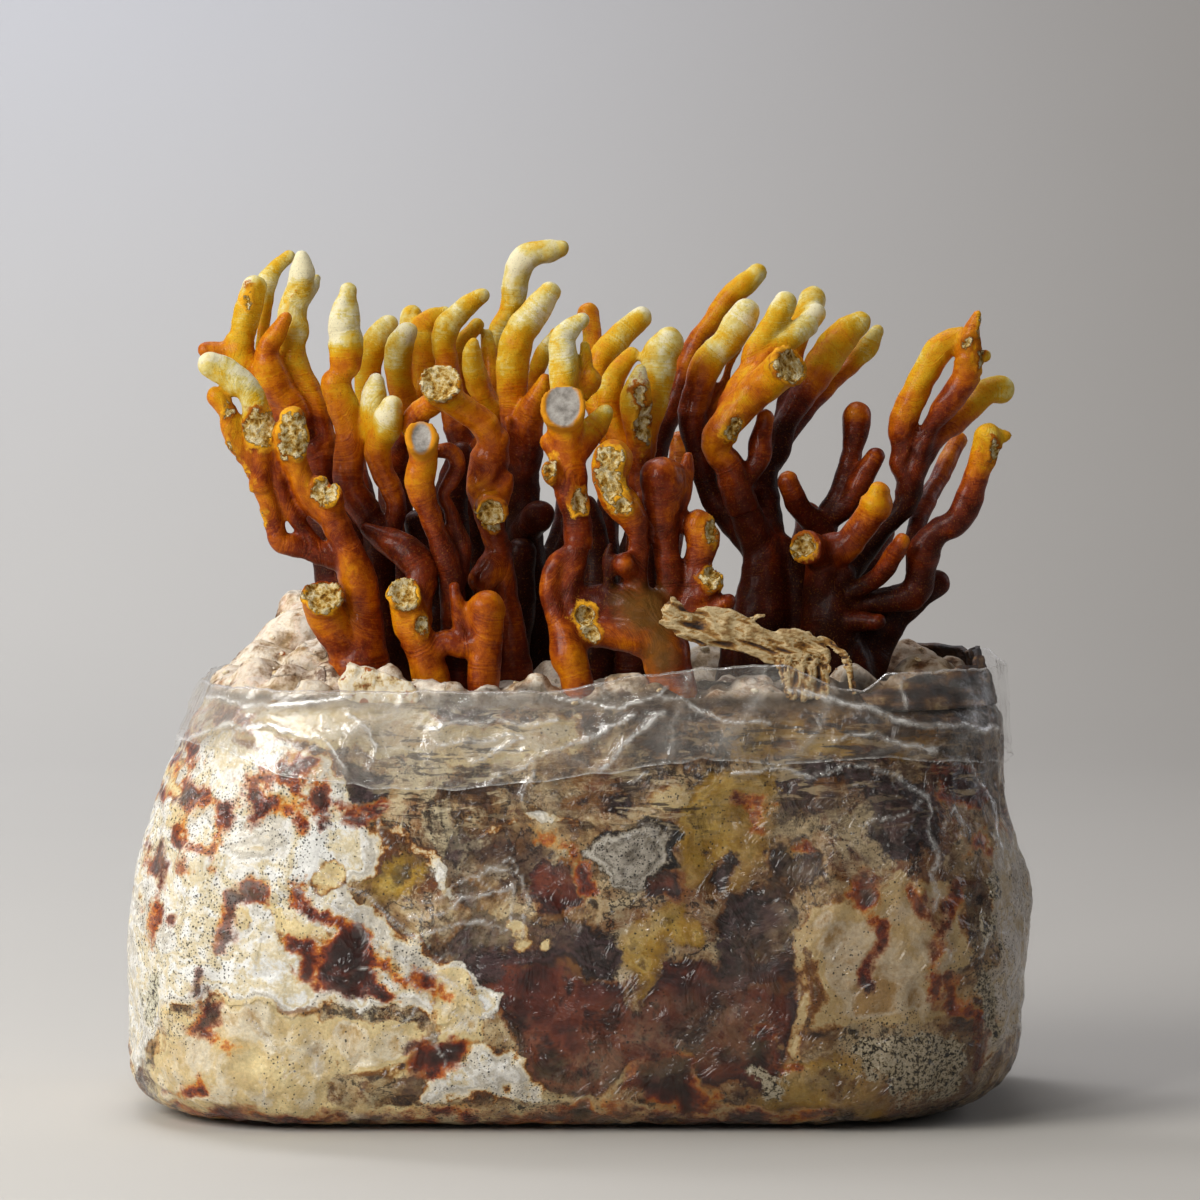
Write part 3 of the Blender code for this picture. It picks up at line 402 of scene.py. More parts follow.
# fingers from base to tip: depth at the base and at the tip, ages (0 young, 1 old) spread evenly along
# it, points as (across, height, radius, nearer by), and cutTip where its end is cut flat
antlerFingers = {
    "antler_left_hand": (
        (-38, -44, (0.58, 0.4), (-51, 94, 7.5), (-50.5, 104, 6.6), (-50, 109, 5.1), (-49.8, 115, 4),
         (-51, 121, 3.9), (-53, 127, 4), (-54.5, 132, 3), (-56.5, 136, 2.8), (-58.5, 140, 2.8),
         (-60, 143.5, 2.6)),
        (-43, -46, (0.45, 0.38), (-57, 137, 2.4), (-57, 140, 2.6), (-56.8, 142, 2.5, 2), cutTip),
        (-41, -45, (0.55, 0.34), (-53, 127, 3), (-58, 127.5, 3), (-62, 129, 2.5), (-66, 130, 2.3),
         (-69, 131, 2), (-70, 134, 2), (-71, 138, 1.9), (-72.5, 142, 1.9), (-74, 146, 2), (-76, 150, 2.3),
         (-78, 153, 2.5), (-80, 157, 2.5), (-81, 161, 2.1), (-83.5, 164.5, 2.1)),
        (-44, -46, (0.48, 0.24, 0), (-73.5, 145, 2), (-73.5, 150, 2.6), (-73.8, 154, 3.1), (-74, 158, 3.2),
         (-74.5, 162, 2.8), (-76, 165.5, 2.8), (-78.5, 168, 3.1), (-81.5, 170.5, 3), (-85, 172, 2.6)),
        (-41, -44, (0.6, 0.5), (-60, 128, 2.4), (-64, 134, 1.9), (-68, 141, 1.7), (-70.5, 149, 1.8),
         (-73, 152, 2)),
        (-42, -46, (0.5, 0.3), (-57, 137, 2.4), (-61.5, 139, 2.2), (-63.5, 143, 2.5), (-64.5, 147, 2.6),
         (-66.5, 151, 3.1), (-66.5, 156, 3.7), (-66.2, 159.5, 2.5)),
        (-39, -45, (0.5, 0.42), (-50, 102, 4.5), (-54, 107, 4.5), (-57, 111, 4.2), (-59, 115, 3.9),
         (-59.3, 118.5, 4.3, 3), cutTip),
    ),
    "antler_left_stub": (
        (-43, -46, (0.45, 0.3), (-33, 94, 5), (-35, 103, 3.9), (-37.5, 109, 4), (-39, 113, 3.9),
         (-39.8, 117, 3.9), (-40, 119, 3.8, 3), cutTip),
        (-43, -35, (0.6, 0.5), (-37.5, 108, 3.4), (-37, 118, 3.5), (-36, 123, 3.6), (-38, 127, 4),
         (-42, 130, 3.4), (-46, 132, 2.4), (-49, 133.6, 1.5)),
        (-44, -45, (0.62, 0.42), (-35, 104, 3.4), (-31, 107, 2.9), (-26, 106.5, 2.9), (-22, 108, 3.6),
         (-21, 115, 4.2)),
        (-45, -45, (0.6, 0.5), (-22, 94, 3.4), (-21, 108, 3.6)),
        (-45, -44, (0.6, 0.45), (-26, 107, 2), (-27.5, 114, 1.7), (-28.4, 120, 1.7)),
    ),
    "antler_left_upper": (
        (-14, -16, (0.8, 0.62), (-50, 94, 5.8), (-54, 112, 4.8), (-57, 126, 4.3), (-59.5, 140, 4),
         (-60, 150, 3.6)),
        (-16, -14, (0.6, 0.45, 0.3, 0.12, 0.02), (-59.5, 147, 3.4), (-59.5, 155, 2.9), (-60, 160, 2.8),
         (-62, 165, 2.8), (-64.5, 169, 3), (-66, 173, 3), (-66.3, 176.5, 2.6), (-66, 180, 3.2),
         (-66, 184, 3), (-64.5, 189, 2.7), (-63.8, 194, 2.4), (-64, 197, 1.3)),
        (-16, -22, (0.6, 0.4), (-60, 150, 3.2), (-64, 157, 2.8), (-65.5, 161, 3), (-67.5, 164, 3),
         (-70, 167, 3.3), (-71.5, 171, 3.2), (-72, 175.5, 2.4), (-70, 179, 2.2), (-67.5, 183, 1.5)),
        (-17, -14, (0.6, 0.42, 0.25, 0.06), (-62, 154, 2.6), (-68, 160, 2.6), (-73, 167, 2.6),
         (-76, 171, 3), (-78.5, 175, 3.5), (-77.5, 179, 2.7), (-76.5, 184, 2.8), (-75, 190, 2.8)),
        (-15, -16, (0.42, 0.42), (-78, 175, 2.3), (-83, 175, 1.9), (-86.5, 175.5, 1.7)),
        (-12, -4, (0.6, 0.42, 0.25, 0.05), (-65, 158, 2.2), (-70, 168, 1.8), (-73, 174, 1.6),
         (-73, 178, 1.5), (-72.5, 184, 1.6), (-72, 191, 2), (-70, 194.5, 1.9), (-67, 197, 1.7)),
        (-13, -8, (0.15, 0.02), (-64.5, 186, 1.8), (-62, 189, 1.5), (-60.4, 192, 1.1)),
        # dark shoots at its foot
        (-20, -20, (0.95, 0.75), (-50, 93, 5), (-49.5, 110, 4.8), (-50.5, 124, 4.3), (-51.5, 136, 3.7),
         (-53.5, 145, 2.6)),
    ),
    "antler_left_pale": (
        (-22, -26, (0.85, 0.68), (-43, 94, 5.2), (-45, 112, 4.2), (-46, 124, 3.8), (-46.5, 134, 3.5)),
        (-26, -27, (0.66, 0.6, 0.55, 0.42, 0.42, 0.03, -0.06), (-46.5, 133, 3.2), (-50, 139, 3.2),
         (-53, 144, 3.2), (-53, 150, 3.2), (-53, 157, 3.3), (-55, 164, 3.2), (-56, 167.5, 3.3),
         (-55, 169.5, 2.8), (-54, 172, 3.6), (-53.5, 177.5, 3.8), (-54, 180, 3.1), (-54, 182, 3.2),
         (-53.6, 186.5, 2.7), (-53.2, 189, 2)),
        (-26, -32, (0.66, 0.5, 0.36, 0.05), (-46, 132, 2.6), (-42, 136, 2.2), (-42, 140, 2.2),
         (-43.5, 144, 2.4), (-45, 147, 2.7), (-46, 150, 2.8), (-46, 154, 2.7), (-44.5, 156.5, 3),
         (-43.5, 160, 3.2), (-42.8, 162.3, 2.3)),
        (-29, -26, (0.35, 0.03), (-46, 153, 2.4), (-47.3, 158, 2.5), (-47.5, 161, 2.6), (-47, 165, 2.4),
         (-46.6, 168, 1.5)),
        # dark shoots at its foot
        (-14, -12, (0.95, 0.8), (-35, 93, 5.4), (-33.5, 106, 4.9), (-33, 117, 4.4), (-34.5, 127, 3.8),
         (-37, 135, 2.8)),
        (-8, -4, (0.95, 0.75), (-30, 93, 5), (-29, 112, 4.6), (-29.5, 130, 4.2), (-29, 143, 3.6),
         (-27, 151, 2.6)),
    ),
    "antler_left_rear": (
        (22, 20, (0.85, 0.6), (-38, 94, 5.4), (-40, 115, 4.3), (-42, 135, 3.8), (-43.5, 150, 3.4)),
        (20, 18, (0.55, 0.3, 0.08), (-43.5, 149, 3), (-46.5, 157, 2.9), (-48, 164, 2.8), (-48.5, 172, 2.8),
         (-47.5, 176, 2.7), (-46, 179, 2.5), (-43.8, 181.3, 2.1)),
        (19, 10, (0.52, 0.28, 0.08), (-43.5, 149, 3), (-40.5, 156, 2.7), (-39.5, 161, 2.7),
         (-40.5, 164.5, 3), (-41.5, 168, 3.1), (-41.8, 173, 3.2), (-41, 177, 3.1), (-39.8, 179.3, 2.3)),
        (22, 28, (0.5, 0.1), (-42.5, 150, 2.6), (-39.5, 165, 2.6), (-38.5, 175, 2.7), (-38.5, 183, 2.5)),
        (22, 34, (0.75, 0.3), (-41, 123, 3.2), (-47, 132, 2.7), (-50, 141, 2.8), (-52, 149, 2.6),
         (-51.5, 156, 2.4)),
        (20, 24, (0.5, 0.1), (-43, 146, 2.8), (-37, 160, 2.6), (-35.5, 170, 2.6), (-36, 176, 3),
         (-36.3, 180, 2.9), (-34, 182.5, 2.5), (-31, 183.8, 1.8)),
        # dark shoots at its foot
        (-14, -18, (0.9, 0.8), (-47, 94, 5), (-46, 106, 4.6), (-47, 116, 4), (-50, 126, 3)),
    ),
    "antler_centre_left": (
        (-34, -44, (0.85, 0.7, 0.6, 0.42, 0.26), (-28, 94, 4.2), (-28.5, 110, 3.1), (-29, 121, 2.9),
         (-30, 126, 2.6), (-31.5, 130, 2.6), (-33, 134, 2.4), (-34.5, 138.5, 2.4), (-35.5, 141, 2.8),
         (-36.5, 145.5, 3.3), (-36, 150, 3.2), (-36, 153, 3.4, 1), (-36, 155.5, 3.7, 4), cutTip),
        (-36, -38, (0.7, 0.5), (-29, 120, 2.6), (-27, 128, 2.3), (-28.3, 134, 2), (-29.5, 138.5, 1.8),
         (-31, 142, 1.8), (-29, 145, 2), (-27.5, 148.5, 2), (-29, 151.5, 1.8), (-32, 152, 1.5)),
    ),
    "antler_palm": (
        (-24, -30, (0.62, 0.55, 0.5, 0.48, 0.45), (-14, 94, 4.6), (-16, 110, 3.7), (-17.5, 122, 3.1),
         (-18.5, 130.5, 3), (-19.5, 134, 3.1), (-20.5, 140, 3.8), (-21, 144, 4), (-20, 150, 4.5),
         (-19, 154, 3.4)),
        (-30, -35, (0.48, 0.3), (-19.5, 152, 3.4), (-21.5, 158.5, 2.9), (-25, 161, 2.8),
         (-28.5, 163.5, 3.1), (-31, 166, 3.9, 1), (-31.5, 168, 4.4, 4), cutTip),
        (-33, -30, (0.38, 0.34), (-31, 165, 2.8), (-35, 162, 2.5), (-38, 160, 2.3), (-38.5, 157, 1.9)),
        (-30, -33, (0.42, 0.34), (-20, 140, 3), (-19.7, 137.5, 3.6, 3), cutTip),
        (-31, -31, (0.5, 0.3), (-18.5, 139, 1.9), (-17, 143.5, 2), (-16, 145.8, 1.5)),
        (-27, -29, (0.5, 0.38), (-18, 129, 3), (-19.5, 125, 3.3), (-21.8, 122, 3.4)),
    ),
    "antler_centre_back": (
        (12, 14, (0.85, 0.6), (-22, 94, 4.8), (-23, 120, 3.8), (-25, 140, 3.4), (-26.5, 154, 3.1)),
        (14, 12, (0.58, 0.3, 0.08), (-26.5, 153, 2.9), (-29.5, 165, 2.6), (-30.5, 173, 2.5),
         (-31, 177, 2.7), (-30, 180.5, 3), (-28, 183, 2.6), (-25, 186, 2.2), (-22.3, 188, 1.8)),
        (15, 20, (0.55, 0.15), (-26.5, 155, 2.4), (-26.5, 166, 2), (-27, 176, 1.8), (-25, 179, 1.8),
         (-23.3, 181.2, 1.6)),
        (13, 2, (0.6, 0.35, 0.12), (-25.5, 146, 2.7), (-21, 154, 2.6), (-19.5, 160, 2.6), (-21.5, 164, 2.8),
         (-23, 168, 3), (-24, 172, 2.6), (-24.3, 175, 2), (-24, 177.3, 1.1)),
        (13, 24, (0.8, 0.35), (-23.3, 118, 3.2), (-19, 128, 2.7), (-17, 137, 2.8), (-18, 146, 2.5)),
        (14, 22, (0.55, 0.12), (-26, 150, 2.4), (-21.5, 160, 2.1), (-20, 171, 1.9), (-20.5, 175, 2),
         (-21, 178.8, 1.4)),
        # dark shoots at its foot
        (-10, -14, (0.9, 0.8), (-17, 92, 5.5), (-16, 106, 5), (-14, 118, 4.4), (-13, 128, 3.4)),
    ),
    "antler_back_tall": (
        (32, 34, (0.85, 0.7, 0.6, 0.5, 0.38, 0.25, 0.1, 0.05), (-10, 94, 5.2), (-11, 115, 4.3),
         (-13, 135, 3.8), (-16, 152, 3.2), (-19, 165, 2.7), (-20, 172, 2.5), (-19, 176, 2.3),
         (-18, 180, 2.2), (-16, 184, 2.4), (-15, 188, 2.6), (-14.3, 192, 2.8), (-13, 195.5, 3),
         (-10, 197.8, 2.8), (-6, 198.7, 2.5), (-4, 199, 1.9)),
        (33, 45, (0.75, 0.3), (-11.3, 117, 3.4), (-5, 129, 2.8), (-2, 139, 2.7), (-3, 149, 2.9),
         (-1, 157, 2.4)),
        (33, 47, (0.75, 0.25), (-12.5, 132, 3.2), (-20, 142, 2.7), (-24, 151, 2.8), (-24, 160, 2.3)),
        (32, 28, (0.6, 0.08), (-14, 140, 2.8), (-12, 155, 2.4), (-10, 168, 2), (-8, 174.5, 2),
         (-5.2, 179.3, 1.4)),
    ),
    "antler_centre_tall": (
        (-2, -6, (0.88, 0.75), (-8, 94, 5.2), (-10.5, 115, 4.4), (-12, 130, 4), (-12.5, 142, 3.8),
         (-13, 150, 3.5)),
        (-6, -8, (0.7, 0.5, 0.36, 0.2, 0.08, 0.03), (-13, 149, 3.3), (-14.5, 159, 3.2), (-14.5, 164, 3.1),
         (-15, 168.5, 3.5), (-15, 172, 3.8), (-14, 177, 3.8), (-12, 181.5, 3.4), (-8.5, 186, 3),
         (-6.2, 188.8, 2.5)),
        (-7, -14, (0.6, 0.35), (-12.5, 147, 3), (-11.3, 153, 3.3), (-11.5, 157, 3.4), (-10.5, 161.5, 3),
         (-8.3, 166, 2.2), (-7.4, 168.7, 1.5)),
        (-8, -12, (0.6, 0.5), (-13.5, 150, 2), (-15, 154, 1.8), (-15.8, 159, 1.2)),
        (-7, -14, (0.7, 0.6), (-12.5, 133, 3), (-9, 137, 3.8)),
    ),
    "antler_front_arch": (
        (-48, -45, (0.46, 0.5), (1, 92, 4.2), (0, 99, 3.8), (-1.5, 104, 4.2), (-2.2, 108.5, 3.8),
         (-3.8, 112, 3), (-5.3, 116, 2.7), (-5.7, 120, 2.7), (-5, 125, 2.6), (-2, 127.6, 2.4)),
        (-46, -44, (0.5, 0.5), (-1, 106, 3.4), (-1.5, 113, 3), (-1.2, 119, 3), (-0.6, 125, 3.1),
         (0.3, 131, 3), cutTip),
        (-45, -45, (0.5, 0.57), (22.5, 92, 5.4), (22, 101, 5.3), (20, 107, 5.6), (14, 110, 5.2),
         (8, 110, 4.6), (1, 110, 3.8)),
        (-44, -44, (0.55, 0.58), (21, 110, 5.4), (14, 115, 5.6), (7, 116, 5), (0, 117, 3.4)),
        (-44, -48, (0.55, 0.32), (13.5, 114, 3.6), (14, 122, 2.7), (14.5, 126, 2.4), (14.5, 131, 2.6),
         (13.3, 135.5, 3.2), (11.5, 138.5, 3.8), (9, 142, 3.8), (7.9, 146.5, 4.2), (8.8, 150.2, 4.4)),
        (-42, -42, (0.6, 0.52), (20, 112, 4.2), (22, 120, 3.3), (21, 128, 2.9), (20.5, 133, 3.4),
         (20, 138, 3.7), (20, 145, 5.2)),
        (-41, -40, (0.6, 0.5), (22, 134, 1.9), (25, 141, 1.7), (26, 147, 1.6), (26, 150.5, 1.1)),
        (-42, -41, (0.62, 0.52), (23, 112, 4), (27.5, 119, 3.4), (28.5, 126, 3.1), (29.3, 131, 3.5),
         (28.3, 134.5, 3.4)),
        (-42, -45, (0.6, 0.6), (26, 116, 2.8), (31, 120, 2.6), (31.8, 123.5, 2.5), cutTip),
        (-43, -44, (0.5, 0.45), (27, 114, 2.4), (32, 115, 2.2), (35.3, 116.5, 2.1)),
        (-46, -47, (0.7, 0.75), (8, 115, 2.2), (7.5, 122, 1.6), (7.5, 127, 1.3), (8, 130, 0.9)),
        (-45, -48, (0.5, 0.42), (13.5, 123, 2.2), (11.4, 125.5, 3)),
    ),
    "antler_front_crown": (
        (-44, -43, (0.55, 0.38), (0.4, 131, 3), (0, 137, 3.4), (-1, 142, 3.9), (-1.5, 147, 4.2),
         (-2, 152, 4)),
        (-44, -47, (0.42, 0.4), (-3, 144.5, 2.6), (-6, 147, 2.4)),
        (-44, -43, (0.4, 0.36), (-3, 150, 2.6), (-6.5, 154, 2.1)),
        (-43, -39, (0.4, 0.15), (-0.5, 151, 3.4), (2.5, 155, 3.2), (4.5, 157.5, 3), (6.5, 160.5, 2.3)),
        (-43, -45, (0.38, 0.25), (-2, 151, 4), (-2.4, 156, 4.1), (-2.8, 160, 4.4, 1), (-3, 162.5, 4.9, 5),
         cutTip),
        (-41, -35, (0.3, 0.12, 0.04, 0.02), (-2.2, 154, 3.4), (-2.6, 164, 3.2), (-2.8, 170, 3.4),
         (-3, 174, 3.3), (-3, 178, 2.8), (-1, 180.5, 2.4), (1.2, 182, 1.9)),
        (-37, -35, (0.4, 0.38), (-2, 165, 2.6), (2.5, 168, 3.2)),
        (-36, -34, (0.4, 0.2), (1.4, 166, 2), (2.3, 172, 1.5), (2, 176.5, 1.1)),
    ),
    "antler_centre_crown": (
        (-12, -18, (0.8, 0.55), (13, 94, 5.2), (14, 110, 4.5), (15, 125, 4), (15.5, 140, 3.6),
         (15.3, 150, 3.2)),
        (-12, 3, (0.8, 0.3), (14, 110, 3.6), (19, 122, 2.9), (22, 132, 2.8), (22, 141, 2.5)),
        (-18, -16, (0.45, 0.3, 0.15, 0.06), (15.3, 149, 3), (16, 156, 3), (17.5, 162, 2.9),
         (18.5, 166, 3.1), (19, 170, 3.8), (19.5, 174.5, 4), (21.4, 176.8, 3.4)),
        (-20, -26, (0.42, 0.34, 0.25, 0.1), (15, 150, 2.5), (14.5, 155, 2.9), (14, 159, 3.3),
         (14, 164, 3.2), (14.4, 168, 2.5), (14.8, 171, 1.2)),
        (-17, -14, (0.45, 0.12), (14, 146, 2.6), (10, 154, 2.4), (7.5, 162, 2.3), (7.8, 165, 2.4),
         (8.5, 168.5, 2.5), (10.5, 171.5, 2.4), (12.8, 174.1, 1.8)),
        (-15, -4, (0.5, 0.12), (14, 143, 2.8), (8, 155, 2.7), (4.5, 166, 2.8), (4.5, 171, 2.8), (6, 174, 3),
         (9, 177.5, 2.9), (12, 180.5, 2.7), (15, 182.8, 2.2)),
        (-8, 4, (0.5, 0.25), (5.5, 162, 2.2), (3.2, 172, 2.1), (3.5, 179, 2.1), (2.6, 183.8, 2.8)),
        # dark shoots at its foot
        (-14, -12, (0.95, 0.75), (3, 93, 5.6), (3.5, 108, 5.2), (4.5, 120, 4.6), (4, 130, 3.8),
         (2, 139, 2.8)),
    ),
    "antler_right_trunk": (
        (-8, -9, (0.85, 0.78), (43.5, 92, 7.4), (43.5, 104, 6.8), (43.5, 112, 6.5), (44, 120, 5.8),
         (43.5, 128, 4.8), (42, 133, 3.8)),
        (-5, 10, (0.8, 0.6), (45.5, 112, 4), (50, 121, 3.2), (53, 129, 3), (54, 137, 2.8)),
        (-9, -13, (0.75, 0.7), (43, 129, 4), (40, 136, 3.9), (38.3, 139.8, 3.7), cutTip),
        (-7, -5, (0.75, 0.75), (42, 129, 3.8), (36.5, 135, 3.3), (33.4, 138.6, 3), cutTip),
        (-8, -4, (0.75, 0.8), (44.5, 127, 4), (44.6, 136, 3.4), (44.4, 142, 3.1), cutTip),
        # dark shoots at its foot
        (-6, -8, (0.95, 0.85), (51, 92, 6), (51, 106, 5.6), (51.5, 116, 5), (50, 124, 4), (48, 129, 3)),
        (-4, -6, (0.9, 0.85), (37, 94, 5), (38, 106, 4.4), (41, 116, 4)),
    ),
    "antler_right_cut_branch": (
        (-13, -21, (0.72, 0.6, 0.38, 0.36, 0.36, 0.34), (38.3, 139.8, 3.7), (37, 143.5, 3.6),
         (36.5, 146, 3.7), (35, 149, 3.2), (32.7, 152, 3.3), (33, 155.5, 3.7), (36, 159.5, 3.6),
         (39.5, 163, 3.6), (43, 166.5, 3.8), (47, 170, 3.9, 1), (50, 172, 4.5, 3), cutTip),
        (-16, -8, (0.7, 0.5, 0.25, 0.08), (33.5, 156, 2.8), (36, 163, 2.6), (38.5, 168, 2.5),
         (40.5, 171, 2.6), (41.5, 174, 2.9), (44, 178.5, 2.9), (46.5, 183, 2.8), (48.5, 186.2, 2.4)),
        (-18, -8, (0.6, 0.4, 0.35, 0.05), (39, 163, 2.6), (42.5, 170, 2.4), (45.5, 174.5, 2.3),
         (48, 176.5, 2.4), (51, 179, 2.6), (53.4, 181, 2.5)),
        (-14, -12, (0.8, 0.5), (37.5, 145, 2.6), (41, 147, 2.4), (42.5, 150, 2.4), (43, 155, 2.6),
         (44, 159.3, 2.3)),
    ),
    "antler_right_pale_branch": (
        (-5, -6, (0.8, 0.78, 0.72, 0.5, 0.14, 0.03), (33.4, 138.6, 3), (31, 142, 2.9), (29.7, 147, 2.9),
         (28, 153, 2.9), (26.8, 158, 3.2), (27, 162, 3), (28.5, 167, 3.3), (30, 171, 3.6), (32.5, 174.5, 3),
         (35, 177, 3.3), (37.5, 181, 3.6), (39.4, 183.8, 3.1)),
        (-4, -1, (0.6, 0.4), (27.5, 158, 2), (31.5, 161.5, 1.8), (33, 165, 1.5), (34.8, 169, 1.2),
         (36, 173, 1.1), (37.8, 175.8, 0.9)),
    ),
    "antler_right_outer_branch": (
        (-4, 8, (0.88, 0.88, 0.8, 0.55, 0.3, 0.12), (44.4, 142, 3.1), (44.5, 148, 2.9), (47, 152, 2.8),
         (48, 156, 2.8), (50, 161, 2.7), (52.5, 165, 3), (55, 168.5, 3.3), (57.5, 172.5, 3.6),
         (60, 176, 3.5), (63, 179.5, 3.2), (65.8, 181.8, 2.6)),
        (1, 16, (0.85, 0.7, 0.4, 0.15), (46, 150, 2.4), (49, 156, 2.2), (53, 161, 1.9), (57, 165.5, 2),
         (61.5, 169.5, 2), (65, 173, 2), (68, 176.5, 1.9), (69.8, 179.8, 1.5)),
        (3, 12, (0.85, 0.6, 0.3, 0.12), (48, 157, 2.4), (49.5, 170, 2.2), (52, 180, 2.4), (55, 187.2, 2.8)),
        (8, 8, (0.4, 0.1), (51.5, 179, 2), (55.5, 184, 1.9)),
    ),
    "antler_rear_slender": (
        (32, 30, (0.85, 0.8, 0.72, 0.62, 0.45, 0.15), (12, 94, 5), (13, 118, 4.1), (15, 136, 3.4),
         (18, 152, 3), (20, 157, 2.8), (23, 163, 2.7), (25, 170, 2.6), (28, 178, 2.5), (31, 181.5, 2.4),
         (33, 184.5, 2.4), (36, 188, 2.4), (39.5, 191, 2.3), (42, 193.4, 1.9)),
        (32, 43, (0.8, 0.3), (13, 112, 3.5), (8, 124, 2.8), (6.5, 135, 2.7), (8.5, 146, 2.8),
         (7.5, 154, 2.4)),
        (31, 44, (0.8, 0.3), (14, 127, 3.2), (20, 137, 2.7), (24, 146, 2.8), (24, 154, 2.4)),
    ),
    "antler_far_trunk": (
        (-12, -14, (0.92, 0.85), (59, 92, 7.4), (59, 104, 6.9), (59, 113, 6.6), (60, 119, 5),
         (61.5, 122.5, 3.6)),
        (-9, 8, (0.85, 0.7), (60, 111, 4), (64.5, 119, 3.1), (69, 126, 2.8), (71, 133, 2.6)),
        (-13, -12, (0.92, 0.9), (66, 94, 5), (63, 104, 5), (60, 111, 5)),
        (-14, -21, (0.85, 0.55, 0.5, 0.5, 0.34), (57, 116, 4.6), (57, 124, 4), (58, 128.5, 3.7),
         (62, 129.5, 3.9), (65, 132.5, 2.9), (68, 136, 3.2), (70, 140, 3.7), (70.5, 142.3, 2.5)),
        (-17, -20, (0.5, 0.5), (58.5, 128, 3.6), (55.5, 129, 3.8, 1), (53.5, 129.5, 3.9, 4), cutTip),
        (-15, -24, (0.9, 0.5), (62, 118, 2.6), (69, 121.5, 2.2), (71.5, 123.5, 2.1), (74, 127.5, 2.2),
         (75.8, 130.6, 1.9)),
        (-17, -21, (0.9, 0.7), (62, 112, 2.4), (66, 112, 2.2), (70.3, 112, 1.6)),
        (-14, -14, (0.9, 0.88), (60, 115, 3.9), (64, 116.5, 3.4), (67.4, 116.8, 3.1), cutTip),
        (-11, -7, (0.88, 0.85), (60, 118, 4), (64.5, 125.5, 3.3), (67.4, 129.2, 3), cutTip),
        (-10, -5, (0.88, 0.85), (58.5, 119, 3.8), (57.2, 126, 3.1), (57.3, 131, 2.8), cutTip),
        # dark shoots at its foot
        (-8, -6, (0.95, 0.8), (65, 92, 6), (67, 104, 5.6), (72, 112, 4.6), (78, 117, 3.6), (84, 121, 2.6)),
        (-3, 6, (0.95, 0.8), (56, 96, 6), (57, 110, 5.6), (60, 120, 4.6), (65, 128, 3.4)),
    ),
    "antler_far_low_branch": (
        (-14, -22, (0.85, 0.72, 0.72, 0.7, 0.6, 0.25), (67.4, 116.8, 3.1), (74, 117.5, 3), (78.5, 119, 3.4),
         (80.3, 124, 3.3), (81.3, 129, 3.4), (84, 133, 3.2), (88.5, 135.5, 3), (91, 139.5, 3),
         (92.5, 143.5, 2.8), (94, 148, 2.7), (95, 151, 3), (96, 154.8, 3)),
        (-21, -22, (0.3, 0.3), (95.5, 153, 2.1), (98.5, 155, 1.6), (100.3, 155.4, 1.2)),
        (-14, 10, (0.8, 0.75, 0.6, 0.4), (79.5, 123, 2.6), (78.8, 130, 2.3), (79.6, 136, 2.2),
         (81.5, 141, 2.2), (84, 145, 2.2), (86, 149, 2.1), (88.8, 154.2, 1.9)),
    ),
    "antler_far_upper_branch": (
        (-7, -12, (0.88, 0.85, 0.8, 0.6, 0.42, 0.28, 0.22), (67.4, 129.2, 3), (71, 133, 2.7),
         (74, 136.5, 2.6), (77, 140.5, 3), (77.5, 144.5, 3.2), (75.8, 148, 2.5), (75.8, 153.5, 2.7),
         (75.8, 156.5, 3.3), (77, 161, 3), (79.5, 166, 2.7), (82, 171, 2.9), (84.5, 175.5, 3.2),
         (88, 178, 2.5), (89.6, 179.2, 1.6)),
        (-8, -16, (0.85, 0.7, 0.6, 0.5, 0.4), (77, 143, 2.6), (79, 148, 2.4), (80.5, 153, 2.4),
         (82.5, 157, 2.2), (85, 161, 2.6), (88, 165, 3), (90.5, 169, 3), (91, 174, 2.7), (92, 180, 1.9),
         (93.2, 183.6, 1)),
        (-14, -13, (0.2, 0.1), (90.5, 171, 2), (93, 173.5, 1.6), (95.2, 174, 1.1)),
        (-9, -2, (0.8, 0.6, 0.4, 0.25, 0.15), (79.3, 148, 2.2), (82.5, 153.5, 2.3), (85, 156.5, 2.6),
         (88, 158.5, 2.9), (91, 161, 2.5), (93.5, 163.5, 2.5), (96.5, 166, 2.7), (98.6, 166.4, 3.1)),
    ),
    "antler_far_club_branch": (
        (-5, 0, (0.85, 0.8, 0.78, 0.62), (57.3, 131, 2.8), (58, 136, 2.6), (59, 138.5, 2.4), (61, 142, 2.4),
         (62.5, 146, 2.7), (63.3, 149, 2.3), (64, 152, 2.2), (65, 156, 2.9), (65.4, 159.6, 3.1)),
        (-4, -6, (0.8, 0.62), (58.5, 136, 2.3), (61.5, 138, 2.3), (63.5, 140, 2.4), (66, 144, 2.6),
         (68, 148, 2.6), (69.7, 150.6, 2)),
        (-5, -11, (0.8, 0.55), (57.5, 133.5, 2.5), (53.5, 137, 2.7), (51, 140, 3), (49, 144.6, 2.4)),
    ),
}


# the finger's centre line and radii: depth runs evenly along it, less what brings a point nearer
def fingerPlaces(finger, gain):
    baseDepth, tipDepth, _, *points = finger
    points = [point for point in points if point != cutTip]
    flat = np.array([point[:2] for point in points], float)
    along = lengthsAlong(flat)
    nearer = np.array([point[3] if len(point) > 3 else 0 for point in points])
    depth = baseDepth + (tipDepth - baseDepth) * along / along[-1] - nearer
    scale = scaleAt(depth)
    radius = np.array([point[2] for point in points]) * scale * gain
    return np.stack([flat[:, 0] * scale, depth, heightAt(flat[:, 1], scale)], axis=1), radius


